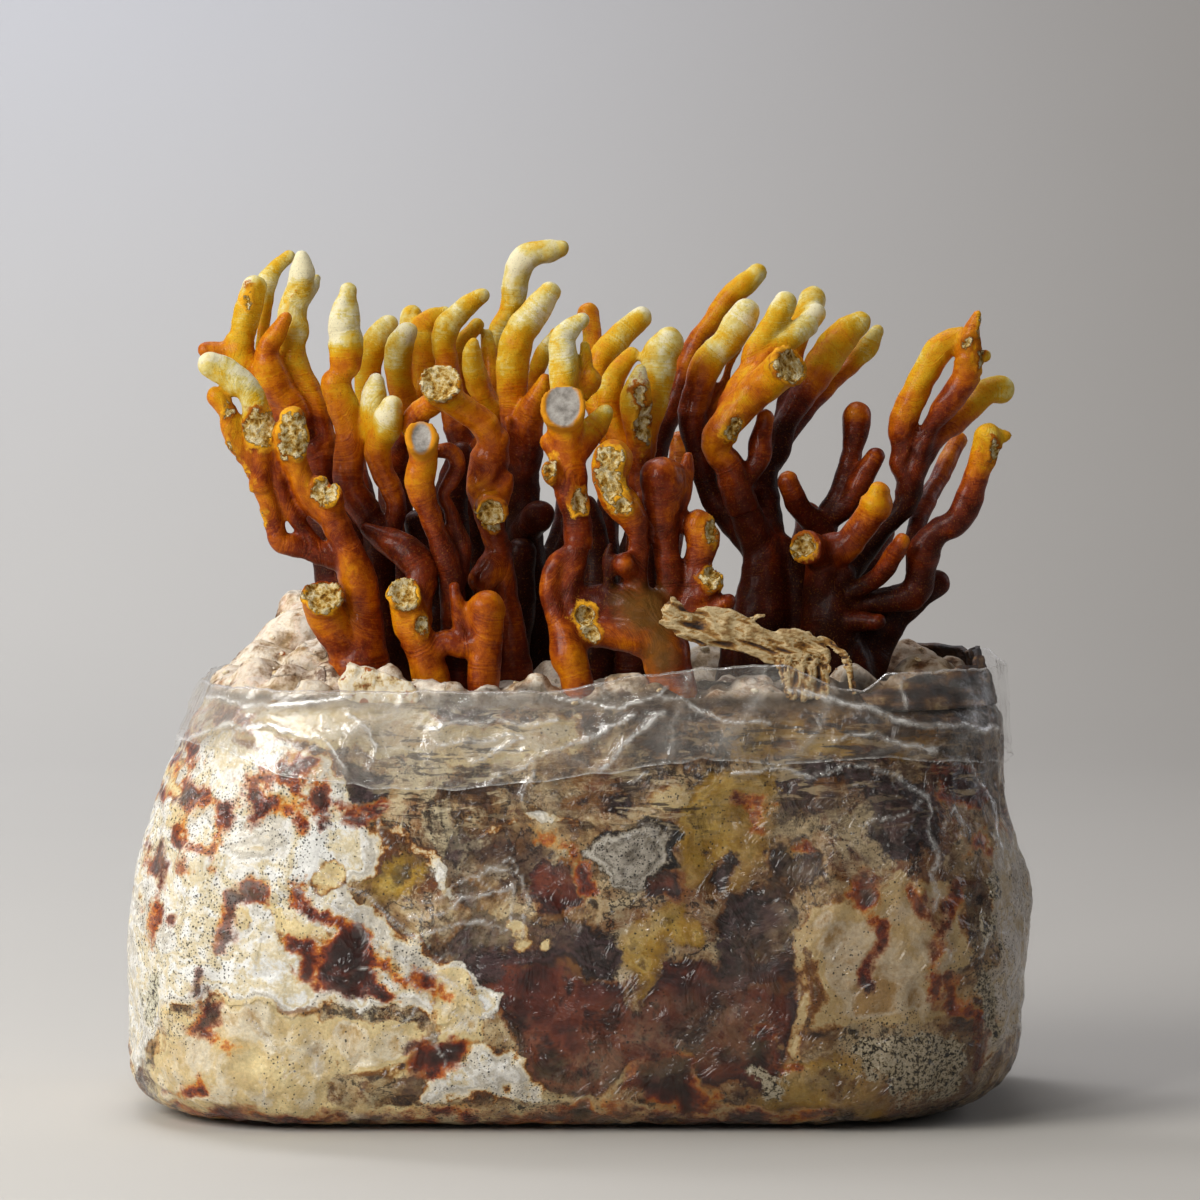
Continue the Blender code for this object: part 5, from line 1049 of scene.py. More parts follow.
# patches on the wall as seen from the front: areas by their corners, spots as (across, height, half
# width, half height, tilt), and streaks as a half width and the points they run through
patches = {
    "white": {
        "areas": (
            ((-106, 3), (-98, 14), (-90, 24), (-78, 21), (-66, 19), (-58, 22), (-52, 22), (-40, 22),
             (-32, 18), (-24, 22), (-30, 27), (-40, 33), (-50, 42), (-55, 47), (-46, 52), (-42, 60),
             (-48, 66), (-54, 72), (-58, 79), (-74, 86), (-90, 90), (-98, 78), (-104, 62), (-108, 40)),
            ((94, 6), (100, 10), (108, 20), (108, 62), (99, 66), (95, 52), (98, 34), (94, 20)),
            ((-38, -1), (-36, 4), (-30, 8), (-26, 9), (-25, 13), (-22, 14.5), (-19, 12), (-16, 11),
             (-14, 11.5), (-12, 8), (-9, 6), (-8, 0.5), (-9, -1), (-22, -0.5), (-30, -2), (-37, -3)),
        ),
        "spots": (
            (-50, 60, 9, 6), (-84, 98, 9, 5),
        ),
        "streaks": (
            # the first streak is a painted highlight along the crest of the diagonal fold
            (3.2, (-62, 51), (-54, 46), (-46, 40), (-40, 35), (-30, 29), (-20, 23)), (1.2, (-44, 66),
            (-36, 58), (-30, 48)), (1.0, (-22, 62), (-12, 66), (-2, 64)),
        ),
    },
    "cream": {
        "areas": (
            ((-97, -4), (-99, 10), (-96, 20), (-84, 23), (-70, 21), (-58, 23), (-55, 8), (-58, -4)),
            ((-57, 19), (-55, 20), (-38, 18), (-37, 10), (-43, 5), (-54, 5.5), (-57, 12)),
            ((-75, 48), (-70, 47), (-62, 41), (-54, 35), (-58, 35), (-66, 38), (-72, 44)),
            ((-63, 53), (-60, 55.5), (-55, 54), (-53, 50), (-60, 49)),
            ((-34, 12), (-35, 22), (-32, 30), (-24, 30), (-21, 22), (-22, 14)),
            ((51, 34), (52, 40), (56, 46), (60, 49.5), (66, 49), (64, 44), (58, 38), (53, 33)),
            ((-97, 64), (-97, 82), (-92, 82), (-92, 64)),
            ((55, 18), (56, 36), (62, 47), (74, 52), (86, 50), (91, 40), (92, 24), (84, 20), (68, 17)),
            ((-58, -6), (-58, -1), (-30, -3), (0, -2), (30, -3), (56, -2), (58, -6)),
            ((-90, 86), (-88, 99), (-36, 99), (-35, 90), (-14, 88), (0, 92), (2, 82), (-28, 78), (-58, 81)),
        ),
        "spots": (
            (-78.5, 41, 2.8, 3), (21.5, 70.5, 6, 3.6), (-56.5, 30.5, 1.8, 1.6), (77, 50, 3.2, 4.2),
            (-12, 35, 1.6, 1.4), (-6.5, 35.5, 1.8, 1.8), (-14, 40, 1.6, 1.2), (-63, 101, 6, 4),
            (74, 102, 7, 3),
        ),
        "streaks": (
            (1.5, (52.5, 12), (52.5, 36)), (0.8, (-48, 5.5), (-36, 5.5)), (0.9, (-8, 0), (6, 0), (12, 3),
            (18, 5), (26, 9)), (0.7, (26, 5), (33, 0)),
        ),
    },
    "yellow": {
        "areas": (
            ((24, 50), (25, 68), (34, 77), (46, 76), (47, 66), (44, 56), (36, 50)),
            ((68, 22), (70, 36), (78, 46), (86, 40), (90, 26), (82, 20)),
            ((40, -4), (42, 4), (52, 12), (66, 8), (74, 0), (70, -5)),
            ((36, 80), (38, 91), (52, 93), (66, 90), (64, 79)),
            ((26, 47), (22, 44), (14, 40), (10, 38), (10, 34), (13, 31), (15, 25), (16, 22), (18, 26),
             (20, 30), (22, 36), (27, 38), (30, 37)),
        ),
        "spots": (
            (80, 84, 4, 2.6), (-98, 9.5, 1.2, 1.2), (85, 97.5, 7, 1.8), (-44, 54, 6, 6),
        ),
    },
    "red": {
        "areas": (
            ((-27, 34), (-22, 36), (-16, 35), (-8, 36), (0, 34), (6, 31), (10, 27), (12, 23), (15, 20),
             (18, 26), (22, 30), (30, 32), (38, 33), (46, 32), (51, 30), (51, 8), (44, 3), (33, 1), (28, 4),
             (26, 8), (20, 7), (12, 3), (7, 0), (-8, 0), (-10, 5), (-13, 9), (-14, 14), (-17, 20),
             (-21, 22), (-24, 26)),
            ((-11, 50), (-8, 55), (-2, 56), (2, 52), (3, 47), (0, 44), (-4, 43), (-8, 44.5), (-10, 47)),
            ((16, 46), (16, 53), (24, 53), (25, 46)),
            ((-103, 44), (-104, 60), (-98, 60), (-98, 44)),
        ),
        "spots": (
            (67, 82.5, 3.4, 1.8), (-56, 23.5, 3.2, 2.4), (87, 26, 1.3, 1.3),
        ),
        "streaks": (
            (2.2, (84, 61), (84, 76)), (1.4, (90, 28), (91, 23), (96, 21), (98, 19), (95, 15), (95.5, 11),
            (94, 8)),
        ),
    },
    "dark": {
        "areas": (
            ((-59, 76.5), (-52, 77), (-48, 75), (-42, 74), (-44, 70), (-50, 69.5), (-55, 70), (-58, 74)),
            ((-18, 30), (-18, 42), (-6, 45), (6, 42), (10, 33), (2, 29)),
            ((-29, 29), (-29, 39), (-23, 45), (-16, 40), (-16, 29)),
            ((36, 26), (35, 40), (38, 50), (49, 51), (51, 40), (50, 26)),
            ((44, 50), (45, 59), (52, 62), (57, 58), (56, 50)),
            ((46, 66), (46, 76), (56, 76), (56, 67)),
            ((70, 56), (70, 72), (76, 77), (83, 74), (82, 58)),
            ((66, 91), (66, 101), (80, 101), (80, 91)),
            ((80, 88), (80, 97), (96, 96), (95, 89)),
            ((-60, 28), (-60, 41), (-50, 41), (-46, 36), (-41, 32.5), (-48, 28), (-53, 30)),
            ((-33, 89), (-33, 96), (-14, 96), (-14, 89)),
            ((44, 74), (52, 78), (66, 79), (76, 77), (84, 70), (85, 58), (80, 60), (76, 68), (66, 72),
             (56, 71), (48, 69)),
        ),
        "spots": (
            (-70, 34.5, 4.8, 6), (-46, 54, 2.2, 2.2), (-41.5, 54, 2.3, 2.3), (-28, 58, 2, 4),
            (-22, 57, 2, 3), (-25, 48, 5, 4), (-12, 59, 1, 1), (-22.5, 72, 2.5, 2), (33, 54, 3, 4),
            (89, 38, 3, 4), (92, 31, 2, 3), (57, 88.5, 3, 1.5), (48, 83, 2, 2), (75, 83, 1.2, 1.2),
            (101, 26, 1.6, 1.2), (21, 88, 5, 3), (-67.5, 72, 1.2, 1.2), (-89.5, 2.5, 1.6, 1),
            (25, 1.5, 3, 1.5), (-21.5, 10.7, 1.2, 1.2),
        ),
        "streaks": (
            (0.7, (60, 46), (57, 32), (58, 18)), (0.9, (-3, 75), (12, 75)), (1.6, (-3, 70), (10, 71)), (1.0,
            (-53, 27), (-48, 25)),
        ),
    },
    "amber": {
        "areas": (
            ((-93, 80), (-93, 85.5), (-88.5, 85.5), (-88.5, 80)),
            ((-84, 88), (-83, 92), (-77, 91), (-78, 87)),
            ((-55, 69.5), (-43, 69.5), (-44, 66.5), (-50, 64.5), (-54, 66.5)),
            ((-69.5, 79.5), (-66, 79), (-62, 78), (-62, 75), (-65, 75), (-68, 77)),
            ((-66, 27), (-66, 40), (-62, 38), (-62, 28)),
            ((-60, 26), (-61, 36), (-56, 42), (-50, 40), (-46, 35), (-41, 32.5), (-46, 30), (-44, 26),
             (-40, 22), (-48, 24), (-54, 24)),
            ((-90, 17), (-88, 22), (-85, 24), (-83, 21), (-83, 16.5), (-87, 17.5)),
            ((-39, 5), (-38, 11), (-30, 14), (-26, 13), (-28, 8), (-35, 4)),
            ((12, 3), (20, 7), (24, 9), (27, 8), (26, 5), (30, 2), (34, -1), (26, -4), (20, -1), (10, 0)),
            ((86, 70), (86, 77), (94, 77), (94, 70)),
            ((90, 58), (90, 64), (96, 64), (96, 58)),
        ),
        "spots": (
            (-89.5, 2.5, 3.8, 2, 20), (-93.5, 79, 1.3, 1.8), (-96, 73, 1.2, 2), (-93, 69, 1.2, 1.6),
            (-89, 90, 2, 1.6), (-65, 66, 1.1, 1.1), (-61.5, 69.5, 1.3, 1.3), (-61, 65, 1, 1),
            (-71, 77.5, 1, 1), (-73.5, 77.5, 1, 1), (-60.5, 72.5, 0.8, 0.8), (-65, 50.5, 0.9, 2),
            (-88, 29.5, 1, 1), (-88.5, 26.5, 0.8, 0.8), (-94, 41, 0.8, 0.8), (-99.5, 42, 2, 3),
            (-99.5, 56, 1.4, 4), (101.5, 64.5, 1.8, 2.8), (69, 48, 2.2, 4), (45, 14, 1.6, 1.4),
            (51.5, 8.5, 2, 1.8), (43, 66.5, 3, 3.4), (52, 59, 1.6, 1.2), (45, 58, 1.2, 1), (1, -3, 9, 2),
            (-67, 96, 1.6, 1.2), (-63, 96, 1.4, 1),
        ),
        "streaks": (
            (1.2, (-89, 80), (-91, 74), (-93, 68)), (1.3, (-93, 68), (-90, 71), (-86, 71), (-83, 69),
            (-82, 66), (-82.5, 62), (-84, 60), (-88, 60.5), (-92, 61), (-93.5, 64)), (0.8, (-85, 61),
            # the streak from (-66, 48) to (-30, 24) is painted shade below the crest of the diagonal fold
            (-84, 53)), (0.7, (-92, 57), (-91, 53)), (1.3, (-66, 48), (-58, 42), (-48, 35), (-38, 28),
            (-30, 24)), (0.8, (66, 50), (71, 40), (69, 28)), (0.7, (79, 50), (83, 41)), (1.0, (-10, 62),
            (-2, 58), (4, 49)), (1.4, (-77, 75.5), (-73, 76), (-68, 75.5), (-66, 73.5), (-66, 70.5),
            (-69, 69.5), (-73, 70), (-75, 67.5), (-76, 64)), (1.2, (-77, 74), (-76, 66)), (1.5, (-77, 50),
            (-73, 49.5), (-74, 47.5), (-79, 46), (-81, 45.5), (-82, 42), (-82, 36)), (0.9, (-86, 15.5),
            (-82, 12), (-78, 11)), (1.4, (86, 25), (85, 36), (88, 48)), (1.3, (90, 28), (91, 23), (96, 21),
            (98, 19), (95, 15), (95.5, 11), (94, 8)), (0.9, (-97, -3), (-80, -5), (-58, -4), (-30, -5),
            (0, -4), (30, -5), (58, -4)),
        ),
    },
    "grey": {
        "areas": (
            ((2, 57), (4, 60), (8, 63.5), (12, 64.5), (15, 66.5), (19, 64), (23, 62.5), (26, 60), (23, 58),
             (24, 54.5), (20, 52.5), (17, 48.5), (13, 50), (9, 50), (7, 53), (3, 55)),
        ),
    },
    "porous": {
        "areas": (
            ((63, 9), (66, 12), (71, 14), (77, 17.5), (84, 18), (89, 15), (92, 12), (93, 8), (89, 5),
             (89, 2), (83, 0), (76, 0.5), (72, 3.5), (69, 6), (66, 7)),
        ),
        "spots": (
            (46, 4, 4, 2.6), (97, 44, 1.6, 9), (98, 22, 1.6, 6), (-99, 24, 1.4, 5),
        ),
    },
    "speck": {
        "areas": (
            ((-102, 14), (-104, 60), (-92, 84), (-74, 84), (-60, 70), (-60, 56), (-80, 40), (-84, 20)),
            ((64, 10), (66, 13), (72, 15), (78, 18), (84, 18.5), (88, 16), (92, 13), (93, 9), (90, 6),
             (90, 3), (84, 0.5), (76, 1), (72, 4), (70, 6), (66, 8)),
            ((96, 8), (96, 64), (106, 64), (106, 8)),
            ((-46, 26), (-46, 33), (-38, 33), (-38, 26)),
            ((2, 57), (12, 65), (23, 62), (26, 60), (24, 54), (17, 49), (9, 50)),
            ((-33, 89), (-33, 96), (-14, 96), (-14, 89)),
            ((-38, -1), (-36, 4), (-26, 9), (-22, 14), (-12, 8), (-8, 0), (-22, -1)),
        ),
    },
}


# signed distance into an outline, in millimetres, positive inside
def depthInArea(places, corners):
    ends = np.roll(corners, -1, axis=0)
    runs = ends - corners
    offset = places[:, None] - corners[None]
    share = np.clip((offset * runs).sum(axis=2) / np.maximum((runs ** 2).sum(axis=1), 1e-9), 0, 1)
    away = np.linalg.norm(offset - share[..., None] * runs, axis=2).min(axis=1)
    across, height = places[:, :1], places[:, 1:]
    spans = (corners[:, 1] > height) != (ends[:, 1] > height)
    rise = np.where(runs[:, 1] == 0, 1e-9, runs[:, 1])
    crossing = corners[:, 0] + (height - corners[:, 1]) * runs[:, 0] / rise
    inside = (spans & (across < crossing)).sum(axis=1) % 2 == 1
    return np.where(inside, away, -away)


def patchDepth(places, kind):
    reach = blockSettings["fieldReach"]
    found = np.full(len(places), -reach)

    def take(corners, margin, measure):
        corners = np.array(corners, float)
        low, high = corners.min(axis=0) - margin, corners.max(axis=0) + margin
        near = np.flatnonzero(np.all((places > low) & (places < high), axis=1))
        if len(near):
            found[near] = np.maximum(found[near], measure(places[near], corners))

    for area in patches[kind].get("areas", ()):
        take(area, reach, depthInArea)
    for spot in patches[kind].get("spots", ()):
        across, height, *halves = spot[:4]
        size = max(halves)
        box = ((across - size, height - size), (across + size, height + size))
        take(box, reach, lambda near, corners: ellipseDepth(near[:, 0], near[:, 1], spot))
    for halfWidth, *line in patches[kind].get("streaks", ()):
        take(line, reach + halfWidth, lambda near, corners: halfWidth - awayFromPath(near, line))
    return found


# blotches of each kind where nothing is drawn: the ends, the back and the top
# by kind: their size, how rare they are on the wall and on the top, and the noise's shift
blotches = {
    "white": (34, -0.02, 0.3, 5.0), "cream": (16, 0.16, 0.0, 21.0), "yellow": (24, 0.2, 0.4, 33.0),
    "red": (22, 0.26, 0.6, 47.0), "dark": (15, 0.27, 0.3, 59.0), "amber": (12, 0.25, 0.27, 71.0),
    "grey": (9, 0.5, 0.5, 83.0), "porous": (14, 0.52, 0.6, 111.0), "speck": (20, 0.1, 0.1, 97.0),
}


def blockFields(points):
    across, height = seenPlace(points)
    wander = blockSettings["warp"] * noisesAt(points, 13.0, (11.0, 57.0), 3)
    front = np.stack([across, height], axis=1) + wander
    frontShare = 1 - smoothStep(-20, -4, points[:, 1])
    wallShare = 1 - smoothStep(95.5, 99.5, points[:, 2])
    frontShare = frontShare * wallShare
    fields = {}
    for kind, (size, rareOnWall, rareOnTop, seed) in blotches.items():
        rare = rareOnWall * wallShare + rareOnTop * (1 - wallShare)
        blotch = (noiseAt(points, size, seed, 2) - rare) * size * 0.9
        fields[kind] = patchDepth(front, kind) * frontShare + blotch * (1 - frontShare)
    return fields


# darker right side of the block, most of all its top: partly the metabolite stain of that side, partly
# painted shade on the side away from the light
def shadeAt(points):
    across, height = seenPlace(points + 6 * noisesAt(points, 25.0, (3, 8, 15)))
    pale = smoothStep(50, 64, across) * (1 - smoothStep(48, 62, height))
    shade = smoothStep(-20, 30, across) * (1 + 0.15 * pale)
    shade = shade * (0.6 + 0.4 * smoothStep(76, 94, height)) * (1 - smoothStep(97, 101, points[:, 2]))
    return shade + 0.6 * smoothStep(58, 68, across) * smoothStep(85, 90, height)


# balls of many sizes scattered over a patch, squashed a little, as nodules or crumbs
def scatterTree():
    tree, add, given, identifiers = newTree(
        "scatteredLumps", Ground="Object", Spacing="Float", Smallest="Float", Largest="Float",
        Flatness="Float", Stretch="Float", Detail="Int", Seed="Int", Lowest="Float", Finish="Material")
    ground = add("GeometryNodeObjectInfo", given["Ground"], transform_space="RELATIVE")
    place = add("SeparateXYZ", add("GeometryNodeInputPosition"))
    facing = add("SeparateXYZ", add("GeometryNodeInputNormal"))
    high = add("FunctionNodeCompare GREATER_THAN", place.outputs["Z"], given["Lowest"])
    level = add("FunctionNodeCompare GREATER_THAN", facing.outputs["Z"], 0.35)
    onTop = add("FunctionNodeBooleanMath AND", high, level)
    points = add("GeometryNodeDistributePointsOnFaces", {
        "Mesh": ground.outputs["Geometry"], "Selection": onTop, "Distance Min": given["Spacing"],
        "Density Max": 90000.0, "Seed": given["Seed"]}, distribute_method="POISSON")
    ball = add("GeometryNodeMeshIcoSphere", 1.0, given["Detail"])
    uneven = add("TexNoise", {"Scale": 1.5, "Detail": 2.0}).outputs["Color"]
    knock = add("VectorMath SCALE", add("VectorMath SUBTRACT", uneven, (0.5, 0.5, 0.5)), 1.1)
    bumpy = add("GeometryNodeSetPosition", ball, {"Offset": knock})
    lump = add("GeometryNodeSetShadeSmooth", bumpy)
    size = add("FunctionNodeRandomValue FLOAT", given["Smallest"], given["Largest"], {"Seed": given["Seed"]})
    shape = add("CombineXYZ", 1.0, given["Stretch"], given["Flatness"])
    turn = add("FunctionNodeRandomValue FLOAT_VECTOR", (-0.5, -0.5, 0.0), (0.5, 0.5, 6.28),
               {"Seed": given["Seed"]})
    made = add("GeometryNodeInstanceOnPoints", points, {
        "Instance": lump, "Rotation": turn, "Scale": add("VectorMath SCALE", shape, size)})
    endTree(add, made, given["Finish"])
    return tree, identifiers


lumpTree, lumpInputs = scatterTree()
noduleSettings = {
    "Spacing": 0.0068, "Smallest": 0.0022, "Largest": 0.0046, "Flatness": 0.75, "Stretch": 0.8,
    "Detail": 3, "Seed": 7, "Lowest": 0.09,
}
nodulePatch = {"height": 97.3, "ringHeight": 96, "inset": 9.0, "corners": 64}


# nodules all over the top, on a flat patch that stays clear of the film
def noduleMesh():
    count = nodulePatch["corners"]
    height = nodulePatch["height"] * mm
    ring = ringAt(nodulePatch["ringHeight"], nodulePatch["inset"], count)
    points = [(0.0, 0.0, height)] + [(x * mm, y * mm, height) for x, y in ring]
    faces = [(0, n + 1, (n + 1) % count + 1) for n in range(count)]
    patch = newObject("nodulePatch", newMesh("nodulePatch", points, faces))
    mesh = treeMesh("nodules", lumpTree, lumpInputs, {"Ground": patch, "Finish": None, **noduleSettings})
    bpy.data.objects.remove(patch)
    return mesh


def blockShell():
    shape = bmesh.new()
    nodules = noduleMesh()
    shape.from_mesh(nodules)
    bpy.data.meshes.remove(nodules)
    count = blockSettings["columns"]
    top = blockSettings["rows"][-1]
    inset = blockSettings["inset"]
    rows = []
    for height in blockSettings["rows"]:
        raised = height + inset * (1 - height / top)
        foot = readAt(wallSettings["foot"], height)
        rows.append(wallRow(raised, inset + foot, count)[0])
    for further, height in blockSettings["shoulder"]:
        rows.append(wallRow(height, inset + further, count)[0])
    rings = [[shape.verts.new(Vector(point) * mm) for point in row] for row in rows]
    for lower, upper in zip(rings, rings[1:]):
        for column in range(count):
            beside = (column + 1) % count
            shape.faces.new((lower[column], lower[beside], upper[beside], upper[column]))
    shape.faces.new(reversed(rings[0]))
    shape.faces.new(rings[-1])
    for x, y, z, radius in lumps:
        place = Matrix.Translation(Vector((x, y, z)) * mm)
        bmesh.ops.create_icosphere(shape, subdivisions=3, radius=radius * mm, matrix=place)
    return meshFrom(shape, "blockShell")


# sawdust bound by mycelium: ivory felt, translucent skins and wood-brown metabolite stains, pressed
# smooth and wet against the film
def blockMaterial():
    material, shader, add = newMaterial("colonisedSawdust")
    place = add("TexCoord").outputs["Object"]
    fields = {name: add("Attribute", attribute_name=name).outputs["Fac"]
              for name in (*paintKinds, "porous", "layered", "speck", "wet", "pit", "shade")}
    wet, shadeAndStain = fields["wet"], fields["shade"]
    # clouds 25 mm across, marbling, ragged flecks of 6 mm down to a tenth, veins, and grain under 1 mm
    noises = {}
    for name, (scale, detail, roughness, distortion) in groundNoises.items():
        made = add("TexNoise", place, scale, detail, roughness, {"Distortion": distortion})
        noises[name] = add("SeparateColor", made.outputs["Color"]).outputs
    cloud, fleck, marble, weave = noises.values()
    grain = add("TexNoise", place, 1500.0, 3.0, 0.65)
    colour = fillRamp(add("ValToRGB", marble[0]), groundTones)
    # stains that lie in the ground everywhere: rust, slate and pale skins, and dark hair-thin veins
    for name, channel, low, high, strength, code in groundStains:
        share = add("MapRange", noises[name][channel], low, high, 0.0, strength)
        colour = add("Mix RGBA", share, colour, fromHex(code))
    for line, width, where, strength, code in (
            (marble[1], 0.022, cloud[2], 0.9, "#2c170b"), (weave[0], 0.016, cloud[0], 0.55, "#e6dabd"),
            (weave[1], 0.014, cloud[1], 0.7, "#3a1d0c")):
        vein = add("MapRange", add("Math ABSOLUTE", add("Math SUBTRACT", line, 0.5)), width, 0.005)
        vein = add("Math MULTIPLY", vein, add("MapRange", where, 0.45, 0.56, 0.0, strength))
        colour = add("Mix RGBA", vein, colour, fromHex(code))
    # each kind is a stain: its tone follows how deep inside its ragged edge a point lies
    height = add("Math MULTIPLY", fleck[0], 0.8)
    for kind, (jitter, soft, mottle, cover, lift, channel, tones) in paintKinds.items():
        edge = add("Math MULTIPLY_ADD", add("Math SUBTRACT", fleck[channel], 0.5), jitter, fields[kind])
        tone = add("Math MULTIPLY_ADD", add("Math SUBTRACT", marble[channel], 0.5), mottle,
                   add("Math MINIMUM", edge, 0.8))
        thin = add("MapRange", cloud[(channel + 1) % 3], 0.4, 0.56, cover, 1.0)
        mask = add("Math MULTIPLY", add("MapRange", edge, 0.5 - soft, 0.5 + soft * 0.3), thin)
        colour = add("Mix RGBA", mask, colour, fillRamp(add("ValToRGB", tone), tones))
        height = add("Math MULTIPLY_ADD", mask, lift, height)
    # porous crust: pale crumbs between black pores a millimetre apart
    sponge = add("TexNoise", place, 1050.0, 4.0, 0.7, {"Distortion": 0.4})
    crumb = fillRamp(add("ValToRGB", sponge), porousTones)
    edge = add("Math MULTIPLY_ADD", add("Math SUBTRACT", fleck[0], 0.5), 1.5, fields["porous"])
    colour = add("Mix RGBA", add("MapRange", edge, 0.47, 0.54), colour, crumb)
    # layers pressed flat under the cuff: dark and pale lines that run along the wall
    pressed = add("Mapping", place, {"Scale": (0.2, 0.2, 1.0)})
    layer = add("TexNoise", pressed, 620.0, 4.0, 0.6, {"Distortion": 0.5})
    for low, high, strength, code in ((0.46, 0.4, 0.85, "#3a2415"), (0.55, 0.61, 0.7, "#d8c9a6")):
        share = add("Math MULTIPLY", fields["layered"], add("MapRange", layer, low, high, 0.0, strength))
        colour = add("Mix RGBA", share, colour, fromHex(code))
    # black specks up to half a millimetre across, thick where their field says so (real ones are finer)
    bent = add("VectorMath MULTIPLY_ADD", grain.outputs["Color"], (0.0007, 0.0007, 0.0007), place)
    crowd = add("Math MULTIPLY", add("Math MULTIPLY_ADD", fields["speck"], 1.1, 0.14),
                add("MapRange", marble[2], 0.42, 0.56))
    crowd = add("Math MULTIPLY", crowd, 1.7)
    for scale, biggest, strength in ((1900.0, 0.46, 0.85), (1100.0, 0.3, 0.9)):
        dots = add("TexVoronoi", bent, scale)
        chance = add("SeparateColor", dots.outputs["Color"]).outputs
        reach = add("Math MULTIPLY", add("MapRange", chance[0], 0.2, 1.0, 0.1, biggest),
                    add("Math LESS_THAN", chance[1], crowd))
        dot = add("MapRange", add("Math SUBTRACT", reach, dots), -0.04, 0.04)
        colour = add("Mix RGBA", add("Math MULTIPLY", dot, strength), colour, fromHex("#2b231d"))
    # soaked through, the darker tones sink further than the white felt does
    colour = add("VectorMath MULTIPLY", colour, add("MapRange", grain, 0.3, 0.7, 0.86, 1.1))
    colour = add("Gamma", colour, 1.17)
    # dust freckles on the dry top and painted shade in the hollows between the nodules, whose crowns are a
    # dry pinkish beige
    crown = add("Math MULTIPLY_ADD", marble[2], 0.45, add("Math MULTIPLY", fleck[0], 0.55))
    freckle = add("Math MULTIPLY", add("MapRange", fleck[2], 0.56, 0.62, 0.0, 0.8),
                  add("MapRange", wet, 0.7, 0.0))
    for share, tone in (
            (add("MapRange", wet, 0.7, 0.0, 0.0, 0.8), fillRamp(add("ValToRGB", crown), crownTones)),
            (freckle, fromHex("#5a3218")),
            (add("MapRange", fields["pit"], 0.3, 1.0, 0.0, 0.9), fromHex("#24160c"))):
        colour = add("Mix RGBA", share, colour, tone)
    # painted shade and stain: the shade field darkens the right side and its top towards a deep brown
    shadeAndStainTint = add("Mix RGBA", shadeAndStain, (1, 1, 1, 1), (0.3, 0.21, 0.13, 1))
    shadeAndStainTint = add("Mix RGBA", add("MapRange", shadeAndStain, 1.0, 1.6), shadeAndStainTint, (0.2, 0.13, 0.08, 1))
    # crumbly relief above the film; under it, puckers 8 mm apart with sharp little ridges, which the
    # clinging film's gloss follows more strongly
    pucker = add("TexNoise", place, 95.0, 4.0, 0.5, {"Distortion": 1.2})
    relief = add("Bump", {"Height": pucker, "Strength": 0.55, "Distance": 0.0016})
    relief = add("Bump", {"Height": height, "Normal": relief, "Strength": 0.8, "Distance": 0.0008})
    relief = add("Bump", {"Height": grain, "Normal": relief, "Strength": 0.5, "Distance": 0.0002})
    ridge = add("Math ABSOLUTE", add("Math SUBTRACT", pucker, 0.5))
    ridge = add("Math MULTIPLY_ADD", pucker, 1.5, add("MapRange", ridge, 0.0, 0.1, 1.0, 0.0))
    feed(shader, {"Base Color": add("VectorMath MULTIPLY", colour, shadeAndStainTint), "Normal": relief,
                  "Roughness": add("MapRange", wet, 0.0, 1.0, 0.8, 0.42),
                  "Coat Weight": add("MapRange", wet, 0.0, 1.0, 0.0, 0.8),
                  "Coat Normal": add("Bump", {"Height": ridge, "Strength": 0.75, "Distance": 0.0012}),
                  "Coat Roughness": 0.06, "Coat IOR": 1.43, "Specular IOR Level": 0.2})
    return material


# noises of the ground, by name: scale, detail, roughness, distortion
groundNoises = {
    "cloud": (38.0, 5.0, 0.6, 0.0), "fleck": (150.0, 8.0, 0.7, 0.0), "marble": (75.0, 8.0, 0.66, 0.3),
    "weave": (230.0, 6.0, 0.62, 1.1),
}
# tones of the ground from a noise of 0 to 1, and the stains laid over it: noise and its channel, from,
# to, strength
groundTones = (
    (0.30, "#26160c"), (0.38, "#5c3f22"), (0.45, "#93714a"), (0.50, "#b99d72"), (0.55, "#d6c29c"),
    (0.62, "#9b7746"), (0.70, "#4c2f18"),
)
porousTones = ((0.39, "#1b1510"), (0.44, "#62553e"), (0.49, "#cdc5a8"), (0.58, "#e8e5d6"), (0.68, "#b9ad86"))
crownTones = ((0.38, "#3f2917"), (0.43, "#8a6c4e"), (0.475, "#cbb59c"), (0.53, "#efe5d6"), (0.575, "#dccab2"),
              (0.63, "#8f6c49"))
groundStains = (
    ("cloud", 0, 0.52, 0.62, 0.6, "#8a4a1c"), ("cloud", 1, 0.53, 0.62, 0.65, "#493839"),
    ("marble", 2, 0.54, 0.60, 0.75, "#ddd0ae"), ("fleck", 2, 0.57, 0.62, 0.65, "#6d3312"),
    ("fleck", 1, 0.41, 0.37, 0.8, "#261b15"), ("marble", 1, 0.40, 0.36, 0.75, "#3c2416"),
)
